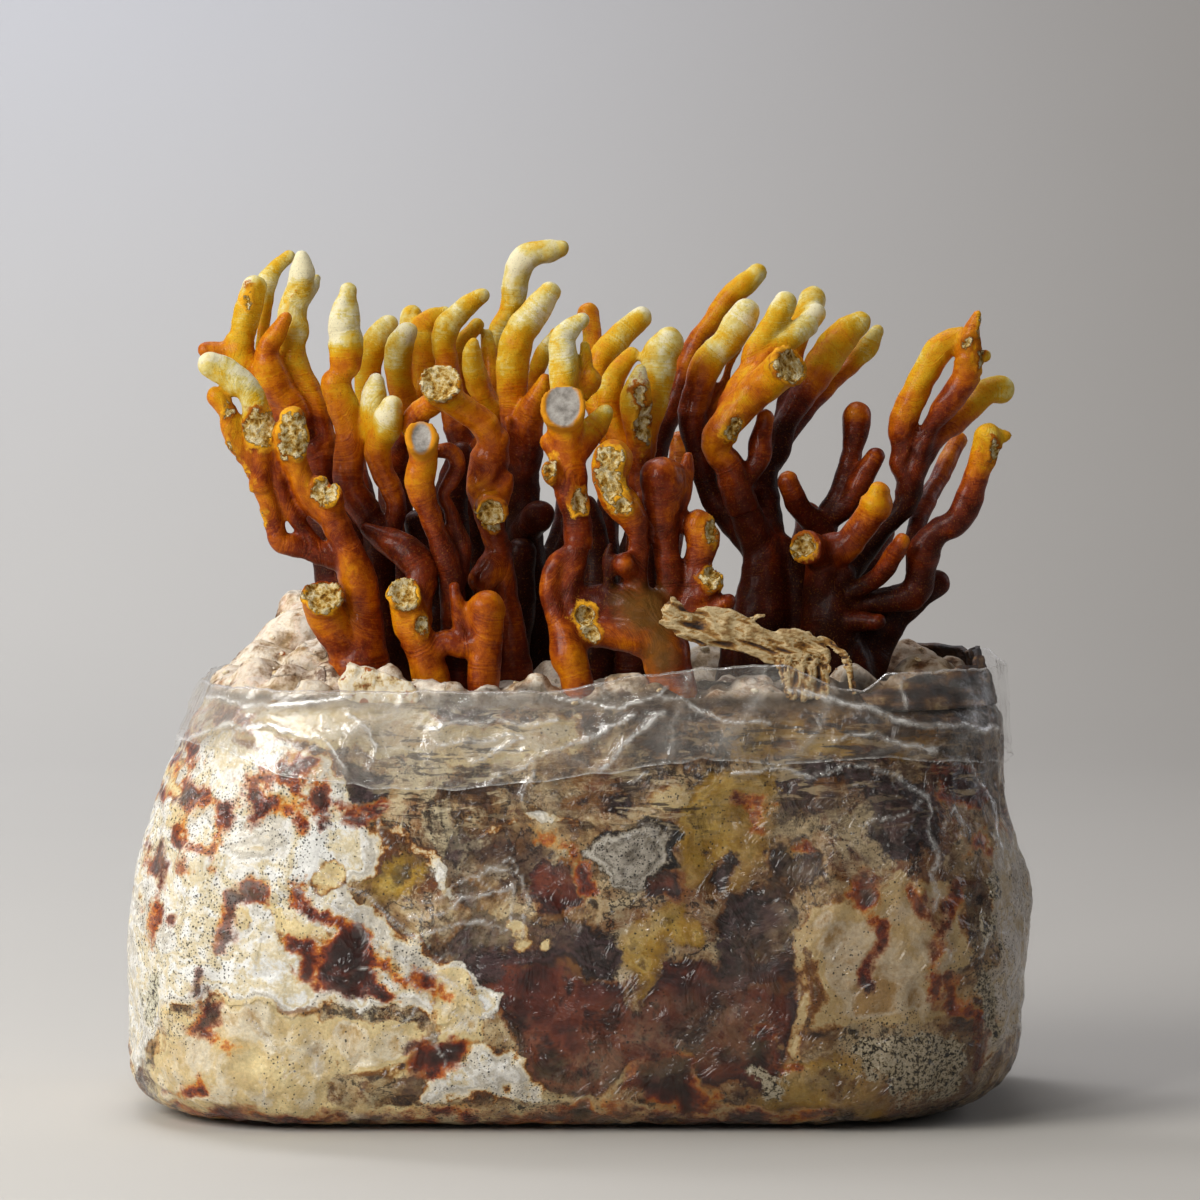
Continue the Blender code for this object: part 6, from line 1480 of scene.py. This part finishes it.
# stains by kind: edge jitter, softness, mottling, least cover, relief, noise channel, and tones by depth,
# with 0.5 at the edge
paintKinds = {
    "yellow": (1.1, 0.12, 1.3, 0.35, 0.0, 0, (
        (0.4, "#8c6a24"), (0.55, "#ad8a2c"), (0.68, "#bf9a38"), (0.8, "#d2b664"), (0.92, "#866a2a"))),
    "red": (0.9, 0.05, 1.5, 0.75, 0.0, 1, (
        (0.42, "#a87440"), (0.5, "#6e3c22"), (0.54, "#351714"), (0.64, "#4e221a"), (0.74, "#6b3121"),
        (0.84, "#80432a"), (0.93, "#4c221b"), (1.0, "#2a1513"))),
    "dark": (1.0, 0.07, 1.4, 0.5, -0.2, 2, (
        (0.42, "#8a602e"), (0.5, "#4f2e18"), (0.58, "#2a1c1a"), (0.7, "#5e484a"), (0.8, "#2c1f1d"),
        (0.92, "#705855"))),
    "white": (0.75, 0.03, 1.4, 1.0, 0.35, 0, (
        (0.44, "#6f4318"), (0.485, "#b98240"), (0.525, "#e2cfa6"), (0.6, "#efe9dc"), (0.68, "#cfc8ba"),
        (0.76, "#f7f5f0"), (0.86, "#e2d3ae"), (0.94, "#f7f6f2"))),
    "cream": (0.7, 0.04, 1.2, 0.6, 0.1, 1, (
        (0.43, "#8f5f26"), (0.49, "#cda568"), (0.56, "#ecdbac"), (0.68, "#e2cb98"), (0.8, "#f4ead2"),
        (0.92, "#ccae7a"))),
    "grey": (0.6, 0.04, 1.6, 1.0, 1.2, 2, (
        (0.44, "#1f140c"), (0.5, "#4a3826"), (0.54, "#b0aa9c"), (0.62, "#d8d5cc"), (0.72, "#8b8478"),
        (0.84, "#cbc7bd"), (1.0, "#756d61"))),
    "amber": (0.95, 0.1, 1.0, 0.75, -0.3, 1, (
        (0.38, "#e9c88a"), (0.44, "#dd9836"), (0.49, "#c26a14"), (0.56, "#8a380a"), (0.65, "#521b08"),
        (0.8, "#2b0d08"), (0.92, "#5e2410"))),
}


def addBlock():
    mesh = meltedMesh("growBlock", blockShell(), blockSettings["voxel"], blockSettings["smoothing"])
    points, normals = pointsOf(mesh), normalsOf(mesh)
    fields = blockFields(points)
    above = smoothStep(92, 99, points[:, 2])
    # pebbly above the film; on the wall only dents, so that nothing pokes through the film
    out = above * sum(rise * noiseAt(points, *noiseForm) for rise, *noiseForm in blockSettings["pebbles"])
    rise, *noiseForm = blockSettings["dents"]
    out += (1 - above) * rise * np.abs(noiseAt(points, *noiseForm))
    out += blockSettings["crustRise"] * smoothStep(-0.5, 1.0, fields["grey"]) * (1 - above)
    movePoints(mesh, points + normals * out[:, None])
    reach = blockSettings["fieldReach"]
    for kind, depth in fields.items():
        storeField(mesh, kind, 0.5 + depth / (2 * reach))
    across, height = seenPlace(points)
    layered = smoothStep(58, 68, height) * (1 - smoothStep(95, 98, height)) * smoothStep(-55, -38, across)
    storeField(mesh, "layered", layered * (0.35 + 0.65 * smoothStep(-0.1, 0.2, noiseAt(points, 18.0, 29.0))))
    storeField(mesh, "wet", 1 - smoothStep(94, 98, points[:, 2]))
    # painted shade: darker low down between the nodules, on their steep sides and in the listed hollows
    steep = 1 - smoothStep(0.2, 0.72, normals[:, 2])
    pit = np.maximum(1 - smoothStep(97.2, 100.2, points[:, 2]), 0.85 * steep)
    for x, y, near, far in blockSettings["hollows"]:
        away = np.hypot(points[:, 0] - x, points[:, 1] - y)
        pit = np.maximum(pit, 0.95 * (1 - smoothStep(near, far, away)))
    storeField(mesh, "pit", above * pit)
    storeField(mesh, "shade", shadeAt(points))
    block = newObject("growBlock", mesh, blockMaterial())
    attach(block, "root")
    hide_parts("substrate_block")
    print("block:", len(mesh.polygons), "faces")


addBlock()

# the film
filmSettings = {
    "columns": 560,
    "wallRows": 130,
    "cuffRows": 30,
    "turn": 0.6,            # height of the fold at the rim, mm
    "cuffGap": 0.7,
    "rim": 0.5,             # raggedness of the rim, mm
    "crinkle": 0.32,        # height of the small crinkles, mm
    "cuffCrinkle": 0.75,
    "edgeLight": 0.8,       # how white the cut edges look, a painted highlight
    "clearMilk": 0.012,     # how milky the clinging film looks
    # and the loose film, from left to right
    "milk": ((-90, 0.2), (-45, 0.2), (-30, 0.12), (0, 0.1), (30, 0.06), (60, 0.035), (100, 0.02)),
}
# creases in the film as seen from the front, raised and drawn white, the white partly painted glints: half
# width, height, and the points they run through
creasesAndGlints = (
    (1.5, 1.3, (-66, 50), (-58, 46), (-50, 41), (-44, 35), (-38, 31), (-30, 28), (-20, 20)),
    (1.1, 0.8, (-60, 54), (-50, 48), (-41, 41), (-36, 38)), (1.0, 0.6, (-40, 28), (-32, 22), (-24, 14)),
    (1.1, 0.7, (-38, 42), (-30, 46), (-20, 48), (-14, 50), (-15, 42), (-17, 39)),
    (1.1, 0.7, (-37, 39), (-28, 42), (-16, 40)), (1.0, 0.6, (-20, 54), (-13, 52), (-10, 46), (-12, 38)),
    (1.0, 0.8, (-34, 87), (-20, 88.5), (-4, 89)), (0.8, 0.6, (-32, 84), (-12, 85.5)),
    (0.9, 0.7, (-24, 80), (-12, 85)), (1.0, 0.8, (-10, 80), (6, 86), (14, 91)),
    (0.8, 0.7, (-20, 74), (-10, 80), (-12, 70)), (1.6, 0.7, (5, 78), (12, 84), (20, 90)),
    (1.4, 1.0, (49, 96.5), (58, 94.5), (66, 92), (76, 89.5), (88, 87.5), (97, 87)),
    (1.1, 0.8, (36, 76), (44, 77.5), (56, 76.5), (67, 78.5), (75, 76.5), (82, 71)),
    (0.9, 0.7, (68, 64), (82, 70), (84, 56)), (0.8, 0.6, (86, 62), (88, 69), (92, 62)),
    (1.0, 0.6, (84, 60), (84, 44)), (0.9, 0.6, (97, 40), (93, 34)), (0.9, 0.6, (86, 36), (88, 32)),
    (0.9, 0.7, (77, 92), (77, 100)), (0.8, 0.6, (-67, 16), (-66, 6)), (0.8, 0.6, (-60, 9), (-60, 3)),
    (0.8, 0.6, (-74, 6), (-72, -2)), (0.9, 0.6, (-43, 17), (-37, 22)), (0.9, 0.5, (12, 73), (15, 77)),
    (1.3, 0.8, (-86, 94), (-70, 92), (-52, 94)), (1.2, 0.7, (-92, 84), (-80, 88), (-66, 86)),
    (1.0, 0.6, (20, 94), (34, 90), (46, 88)), (0.9, 0.6, (-4, 94), (10, 92), (22, 96)),
    (1.0, 0.7, (60, 84), (70, 86), (84, 82)), (1.0, 0.6, (90, 80), (97, 70), (99, 58)),
    (0.7, 0.5, (-78, 24), (-70, 10), (-66, 2)), (0.7, 0.5, (-60, 66), (-46, 66), (-42, 58)),
    (0.7, 0.5, (-40, 44), (-24, 52), (-16, 47)), (0.7, 0.5, (-50, 30), (-38, 30), (-30, 34)),
    (0.7, 0.5, (-38, 14), (-28, 16), (-20, 20)), (0.7, 0.5, (-24, 50), (-16, 56), (-12, 50)),
    (0.7, 0.5, (-95, 30), (-92, 50)), (0.7, 0.5, (-90, 20), (-84, 40)), (0.7, 0.5, (-34, 16), (-30, 6)),
    (0.7, 0.5, (-76, 88), (-60, 84), (-52, 78)), (0.7, 0.5, (-52, 90), (-46, 84), (-48, 78)),
)


# folded film: sharp ridges where a wandering noise crosses zero
def crinkles(points, size, seed):
    bent = points + 2.0 * noisesAt(points, size * 1.4, (seed, seed + 40, seed + 80))
    return np.clip(1 - np.abs(noiseAt(bent, size, seed + 7)) * 5, 0, 1) ** 1.5


# rows of heights and insets up the wall and down the cuff, each with 1 where it is cuff
def filmPlaces():
    count = filmSettings["columns"]
    rim = edgeHeights(wallSettings["rimFront"], wallSettings["rimBack"], count)
    hem = edgeHeights(wallSettings["hemFront"], wallSettings["hemBack"], count)
    along = np.concatenate([ringAt(100, 0.0, count), np.zeros((count, 1))], axis=1)
    rim = rim + filmSettings["rim"] * noiseAt(along, 5.0, 17.0, 3)
    hem = hem + filmSettings["rim"] * 1.6 * noiseAt(along, 9.0, 27.0, 2)
    gap, turn = filmSettings["cuffGap"], filmSettings["turn"]
    wallRows, cuffRows = filmSettings["wallRows"], filmSettings["cuffRows"]
    rows = []
    for height, inset in wallSettings["foot"]:
        rows.append((np.full(count, float(height)), np.full(count, float(inset)), 0.0))
    footTop = wallSettings["foot"][-1][0]
    for number in range(1, wallRows + 1):
        rows.append((footTop + (rim - turn - footTop) * number / wallRows, np.zeros(count), 0.0))
    rows.append((rim, np.full(count, -gap / 2), 1.0))
    for share in np.arange(cuffRows + 1) / cuffRows:
        rows.append((rim - turn + (hem - rim + turn) * share, np.full(count, -gap), 1.0))
    return rows, count


def addFilm():
    rows, count = filmPlaces()
    points, outwards, cuff = [], [], []
    for heights, insets, onCuff in rows:
        row, outward = wallRow(heights, insets, count)
        points.append(row)
        outwards.append(outward)
        cuff.append(np.full(count, onCuff))
    points, outwards, cuff = np.concatenate(points), np.concatenate(outwards), np.concatenate(cuff)
    across, height = seenPlace(points)
    places = np.stack([across, height], axis=1)
    front = 1 - smoothStep(-25, -8, points[:, 1])
    crease, lift = np.zeros(len(points)), np.zeros(len(points))
    wander = 1.7 * noisesAt(points, 8.0, (5.0, 45.0), 3)
    for halfWidth, rise, *line in creasesAndGlints:
        near = awayFromPath(places + wander, line)
        lift = np.maximum(lift, rise * np.exp(-(near / halfWidth) ** 2) * front)
        crease = np.maximum(crease, np.exp(-(near / (0.36 * halfWidth)) ** 2) * front)
    loose = np.maximum(cuff, smoothStep(80, 92, points[:, 2]))
    milk = filmSettings["clearMilk"] + loose * readAt(filmSettings["milk"], across)
    fine = crinkles(points, 7.0, 3.0)
    broad = crinkles(points, 17.0, 61.0)
    height = filmSettings["crinkle"] * (1 - loose) + filmSettings["cuffCrinkle"] * loose
    away = smoothStep(3, 12, points[:, 2])
    out = (lift + height * (0.4 * fine + 0.6 * broad)) * away
    points = points + outwards * out[:, None]
    bottom = np.arange(count)[::-1]
    index = np.arange(len(points)).reshape(-1, count)
    faces = []
    for lower, upper in zip(index, index[1:]):
        faces += zip(lower, np.roll(lower, -1), np.roll(upper, -1), upper)
    faces.append(bottom)
    mesh = newMesh("clearFilmBag", points * mm, faces)
    mesh.shade_smooth()
    crease = np.maximum(crease, 0.25 * broad * loose)
    # light gathers in the cut edges
    # painted highlight: the cut edges drawn white, where light gathers in them
    rowOf = np.arange(len(points)) // count
    rimRow = next(n for n, row in enumerate(rows) if row[2])
    crease[(rowOf == len(rows) - 1) | (rowOf == rimRow)] = filmSettings["edgeLight"]
    storeField(mesh, "crease", crease)
    storeField(mesh, "milk", milk)
    film = newObject("clearFilmBag", mesh, filmMaterial())
    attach(film, "root")
    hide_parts("plastic_bag")
    print("film:", len(mesh.polygons), "faces")


# clear polypropylene film: see-through where it clings, milky where it stands loose, white on creases, partly
# the folds' own whitening and partly painted glints
def filmMaterial():
    material, shader, add = newMaterial("polypropyleneFilm")
    place = add("TexCoord").outputs["Object"]
    crease, milk = (add("Attribute", attribute_name=field).outputs["Fac"] for field in ("crease", "milk"))
    haze = add("TexNoise", place, 55.0, 5.0)
    scratch = add("TexNoise", place, 480.0, 4.0, {"Distortion": 1.5})
    # white creases: partly whitened folds, partly painted glints
    white = add("Math MULTIPLY", crease, add("MapRange", scratch, 0.32, 0.5))
    alpha = add("Math MULTIPLY", milk, add("MapRange", haze, 0.35, 0.7, 0.6, 1.4))
    alpha = add("Math MULTIPLY_ADD", white, 0.52, alpha, use_clamp=True)
    tint = add("Mix RGBA", white, fromHex("#cfc8bc"), fromHex("#f6f4f0"))
    rise = add("Math MULTIPLY_ADD", scratch, 0.5, haze)
    relief = add("Bump", {"Height": rise, "Strength": 0.5, "Distance": 0.0012})
    # a low alpha thins the film's gloss too, so the index is raised to bring it back
    feed(shader, {"Base Color": tint, "Alpha": alpha, "Normal": relief, "Roughness": 0.12, "IOR": 2.2,
                  "Specular IOR Level": 0.8, "Coat Weight": 0.8, "Coat Roughness": 0.06, "Coat IOR": 2.0})
    return material


addFilm()


# dry bits on top
stripSettings = {"voxel": 0.4, "flatness": 0.42, "depth": -55, "groove": 0.5, "bumps": 0.35, "smoothing": 1}
stripFingers = (
    (-55, -55, (0.3, 0.6), (22.5, 113, 2.6), (27, 110.5, 3.2), (34, 110, 3.4), (42, 108, 3.2), (50, 105, 3),
     (55, 102, 2.2)),
    (-55, -55, (0.5, 0.5), (26, 112.5, 1.6), (31, 114, 1.6), (37, 113.2, 1.3), (42, 110.5, 1.2)),
    (-55, -55, (0.5, 0.5), (44, 107, 1.8), (49, 109, 1.3), (54, 108.4, 1.1), (58, 105, 1), (59, 101, 1)),
    (-54, -56, (0.5, 0.5), (29, 108.5, 1.4), (37, 106, 1.2), (44, 103.6, 1.1), (52, 100.5, 1)),
    (-52, -56, (0.5, 0.5), (38, 110, 1.5), (41, 112.8, 0.9), (44, 113.4, 0.6)),
    (-55, -52, (0.5, 0.5), (50, 105, 1.6), (53, 101, 1.6), (55, 97, 1.8)),
    (-55, -56, (0.5, 0.5), (48.5, 105, 2.2), (50, 100, 2.5), (50.8, 95.5, 2.2)),
    (-54, -56, (0.5, 0.5), (51.5, 106, 2.4), (53, 101, 2.6), (53.6, 95.5, 2.3)),
    (-53, -55, (0.5, 0.5), (54, 107, 1.8), (56.7, 102, 2.2), (57.2, 95.5, 2.2)),
    (-52, -56, (0.5, 0.5), (55, 107, 1.3), (58, 107.6, 1.1), (61.5, 105.5, 1), (63.6, 102, 1),
     (64.5, 97, 1.2)),
    (-57, -55, (0.5, 0.5), (23, 114.6, 2.4), (26.5, 112, 2.2), (29.5, 107.8, 1.8)),
)


# dried mushroom skin: papery, beige, grooved along its length, brown in the grooves
def driedSkinMaterial(name, tones):
    material, shader, add = newMaterial(name)
    place = add("TexCoord").outputs["Object"]
    groove = add("Attribute", attribute_name="groove").outputs["Fac"]
    patchy = add("TexNoise", place, 330.0, 6.0, 0.68)
    fibre = add("Mapping", place, {"Scale": (1.0, 1.0, 3.2)})
    fibre = add("TexNoise", fibre, 520.0, 4.0, {"Distortion": 0.8})
    tone = add("Math MULTIPLY_ADD", patchy, 1.3, groove)
    tone = add("Math MULTIPLY_ADD", fibre, 0.5, tone)
    tone = add("Math MULTIPLY", tone, 0.35)
    rise = add("Math MULTIPLY_ADD", patchy, 0.7, fibre)
    relief = add("Bump", {"Height": rise, "Strength": 0.8, "Distance": 0.0005})
    feed(shader, {"Base Color": fillRamp(add("ValToRGB", tone), tones), "Normal": relief, "Roughness": 0.62})
    return material


def addStrip(finish):
    mesh = tubesMesh("strip", stripFingers, 1.0, finish)
    points = pointsOf(mesh)
    middle = stripSettings["depth"]
    points[:, 1] = middle + (points[:, 1] - middle) * stripSettings["flatness"]
    movePoints(mesh, points)
    mesh = meltedMesh("driedSkinStrip", mesh, stripSettings["voxel"], stripSettings["smoothing"])
    points, normals = pointsOf(mesh), normalsOf(mesh)
    # grooves run along the strip, which falls to the right by about one in three, and down the bundle
    # that it ends in
    hanging = smoothStep(44, 49, points[:, 0]) * (1 - smoothStep(105, 108, points[:, 2]))
    along = points[:, 0] * 0.95 - points[:, 2] * 0.3 + hanging * 2 * points[:, 2]
    across = (points[:, 2] * 0.95 + points[:, 0] * 0.3) * (1 - hanging) + hanging * points[:, 0]
    lines = np.stack([along / 9, across / 1.5, points[:, 1] / 3], axis=1)
    groove = 1 - 2.4 * np.abs(noiseAt(lines, 1.0, 4.0, 2))
    rise = stripSettings["groove"] * (groove - 0.5) + stripSettings["bumps"] * noiseAt(points, 3.0, 8.0, 2)
    points += normals * rise[:, None]
    movePoints(mesh, points)
    storeField(mesh, "groove", 0.42 * groove + 0.38 - 0.1 * hanging)
    strip = newObject("driedSkinStrip", mesh, finish)
    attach(strip, "root")
    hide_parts("dried_skin_strip")


crustSettings = {"depth": -56.5, "thick": 2.6, "voxel": 0.45, "knobs": 0.7, "lean": 0.16, "smoothing": 3}
crustOutline = (
    (-55.5, 94.5), (-55.8, 98.5), (-54.5, 100), (-54, 102.3), (-51.5, 101.2), (-49, 101), (-45, 100),
    (-41, 98.5), (-38, 97), (-36.6, 94), (-38, 91.5), (-46, 91.5), (-51, 92),
)
crustTones = (
    (0.32, "#33261b"), (0.39, "#8a5a26"), (0.45, "#d9bf8c"), (0.52, "#efe6d2"), (0.62, "#e2cd9f"),
    (0.72, "#b98344"),
)


def addCrust(finish):
    scale = scaleAt(crustSettings["depth"])
    shape = bmesh.new()
    corners = []
    for across, height in crustOutline:
        corner = Vector((across * scale, crustSettings["depth"], heightAt(height, scale)))
        corners.append(shape.verts.new(corner * mm))
    face = shape.faces.new(corners)
    slab = bmesh.ops.extrude_face_region(shape, geom=[face])["geom"]
    moved = [item for item in slab if isinstance(item, bmesh.types.BMVert)]
    bmesh.ops.translate(shape, verts=moved, vec=(0.001, crustSettings["thick"] * mm, 0))
    bmesh.ops.recalc_face_normals(shape, faces=shape.faces)
    mesh = meshFrom(shape, "crustChip")
    mesh = meltedMesh("crustChip", mesh, crustSettings["voxel"], crustSettings["smoothing"])
    points, normals = pointsOf(mesh), normalsOf(mesh)
    points += normals * (crustSettings["knobs"] * noiseAt(points, 3.6, 2.0, 3))[:, None]
    points[:, 1] += crustSettings["lean"] * (points[:, 2] - 92)
    movePoints(mesh, points)
    chip = newObject("crustChip", mesh, finish)
    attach(chip, "root")


# crust broken off the block's top: chalky cream with rust pinholes and a charred edge
def crustMaterial():
    material, shader, add = newMaterial("chalkyMyceliumCrust")
    place = add("TexCoord").outputs["Object"]
    patchy = add("TexNoise", place, 200.0, 7.0, 0.7)
    holes = add("TexNoise", place, 430.0, 3.0, {"Distortion": 0.6})
    colour = fillRamp(add("ValToRGB", patchy), crustTones)
    colour = add("Mix RGBA", add("MapRange", holes, 0.6, 0.64), colour, fromHex("#a4571d"))
    relief = add("Bump", {"Height": patchy, "Strength": 0.9, "Distance": 0.0008})
    feed(shader, {"Base Color": colour, "Normal": relief, "Roughness": 0.75})
    return material


rimSettings = {
    "columns": 560, "rows": 14, "ringHeight": 98, "low": 95, "inset": 2.4, "thick": 1.0, "curl": 1.4,
    # where it stands, in degrees round from the right end to the back
    "from": -42, "to": 58,
    # its height by the share of the way along it
    "tops": ((0, 98), (0.1, 101.5), (0.25, 103), (0.4, 105), (0.55, 104.6), (0.62, 106.5), (0.66, 104.5),
             (0.8, 104.4), (0.9, 102.5), (1, 99)),
}


# dried skin that stands against the film round the right rear corner
def addDriedRim(finish):
    count = rimSettings["columns"]
    ring = ringAt(rimSettings["ringHeight"], 0.0, count)
    angle = np.degrees(np.arctan2(ring[:, 1], ring[:, 0]))
    chosen = np.flatnonzero((angle > rimSettings["from"]) & (angle < rimSettings["to"]))
    chosen = chosen[np.argsort(angle[chosen])]
    columns = len(chosen)
    places = np.linspace(0, 1, columns)
    grid = []
    for row in range(rimSettings["rows"]):
        share = row / (rimSettings["rows"] - 1)
        tops = readAt(rimSettings["tops"], places)
        heights = np.full(count, float(rimSettings["low"]))
        line = np.stack([places * 60, np.zeros(columns), np.zeros(columns)], axis=1)
        ragged = 1.4 * noiseAt(line, 5.0, 6.0, 3) + 0.5 * noiseAt(line, 1.3, 2.0)
        heights[chosen] = rimSettings["low"] + (tops + ragged - rimSettings["low"]) * share
        points, outward = wallRow(heights, rimSettings["inset"], count)
        points, outward = points[chosen], outward[chosen]
        inward = rimSettings["curl"] * (noiseAt(points, 6.0, 15.0, 2) - 0.3 - 1.2 * share ** 2)
        grid.append(points + outward * inward[:, None])
    grid = np.array(grid)
    index = np.arange(grid.shape[0] * columns).reshape(-1, columns)
    faces = []
    for lower, upper in zip(index, index[1:]):
        faces += zip(lower[:-1], lower[1:], upper[1:], upper[:-1])
    helper = newObject("driedRimHelper", newMesh("driedRimHelper", grid.reshape(-1, 3) * mm, faces))
    wall = helper.modifiers.new("wall", "SOLIDIFY")
    wall.thickness = rimSettings["thick"] * mm
    wall.offset = 0
    mesh = evaluatedMesh(helper)
    bpy.data.objects.remove(helper)
    mesh.shade_smooth()
    points = pointsOf(mesh)
    storeField(mesh, "groove", 0.35 + 0.7 * noiseAt(points * (0.4, 0.4, 2.0), 4.0, 5.0, 2))
    rim = newObject("driedSkinRim", mesh, finish)
    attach(rim, "root")


crumbSettings = {
    "Spacing": 0.0105, "Smallest": 0.0003, "Largest": 0.0011, "Flatness": 0.6, "Stretch": 1.2,
    "Detail": 2, "Seed": 23, "Lowest": 0.0965,
}


def addCrumbs(finish):
    inputs = {"Ground": bpy.data.objects["growBlock"], "Finish": finish, **crumbSettings}
    mesh = treeMesh("crumbs", lumpTree, lumpInputs, inputs)
    mesh.name = "looseCrumbs"
    crumbs = newObject("looseCrumbs", mesh, finish)
    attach(crumbs, "root")
    print("crumbs:", len(mesh.polygons), "faces")


driedSkin = driedSkinMaterial("driedMushroomSkin", (
    (0.3, "#1e1009"), (0.38, "#4f3013"), (0.43, "#85591e"), (0.48, "#a67d3e"), (0.53, "#cdb78c"),
    (0.59, "#a88a58"), (0.66, "#7a5420")))
darkSkin = driedSkinMaterial("scorchedMushroomSkin", (
    (0.3, "#140c07"), (0.42, "#2e1a0d"), (0.5, "#4a2e16"), (0.57, "#6c4c2a"), (0.64, "#8e744c"),
    (0.76, "#5c3f20")))
crust = crustMaterial()
addStrip(driedSkin)
addCrust(crust)
addDriedRim(darkSkin)
addCrumbs(crust)
print("dry bits are in place")

print("everything is in place")
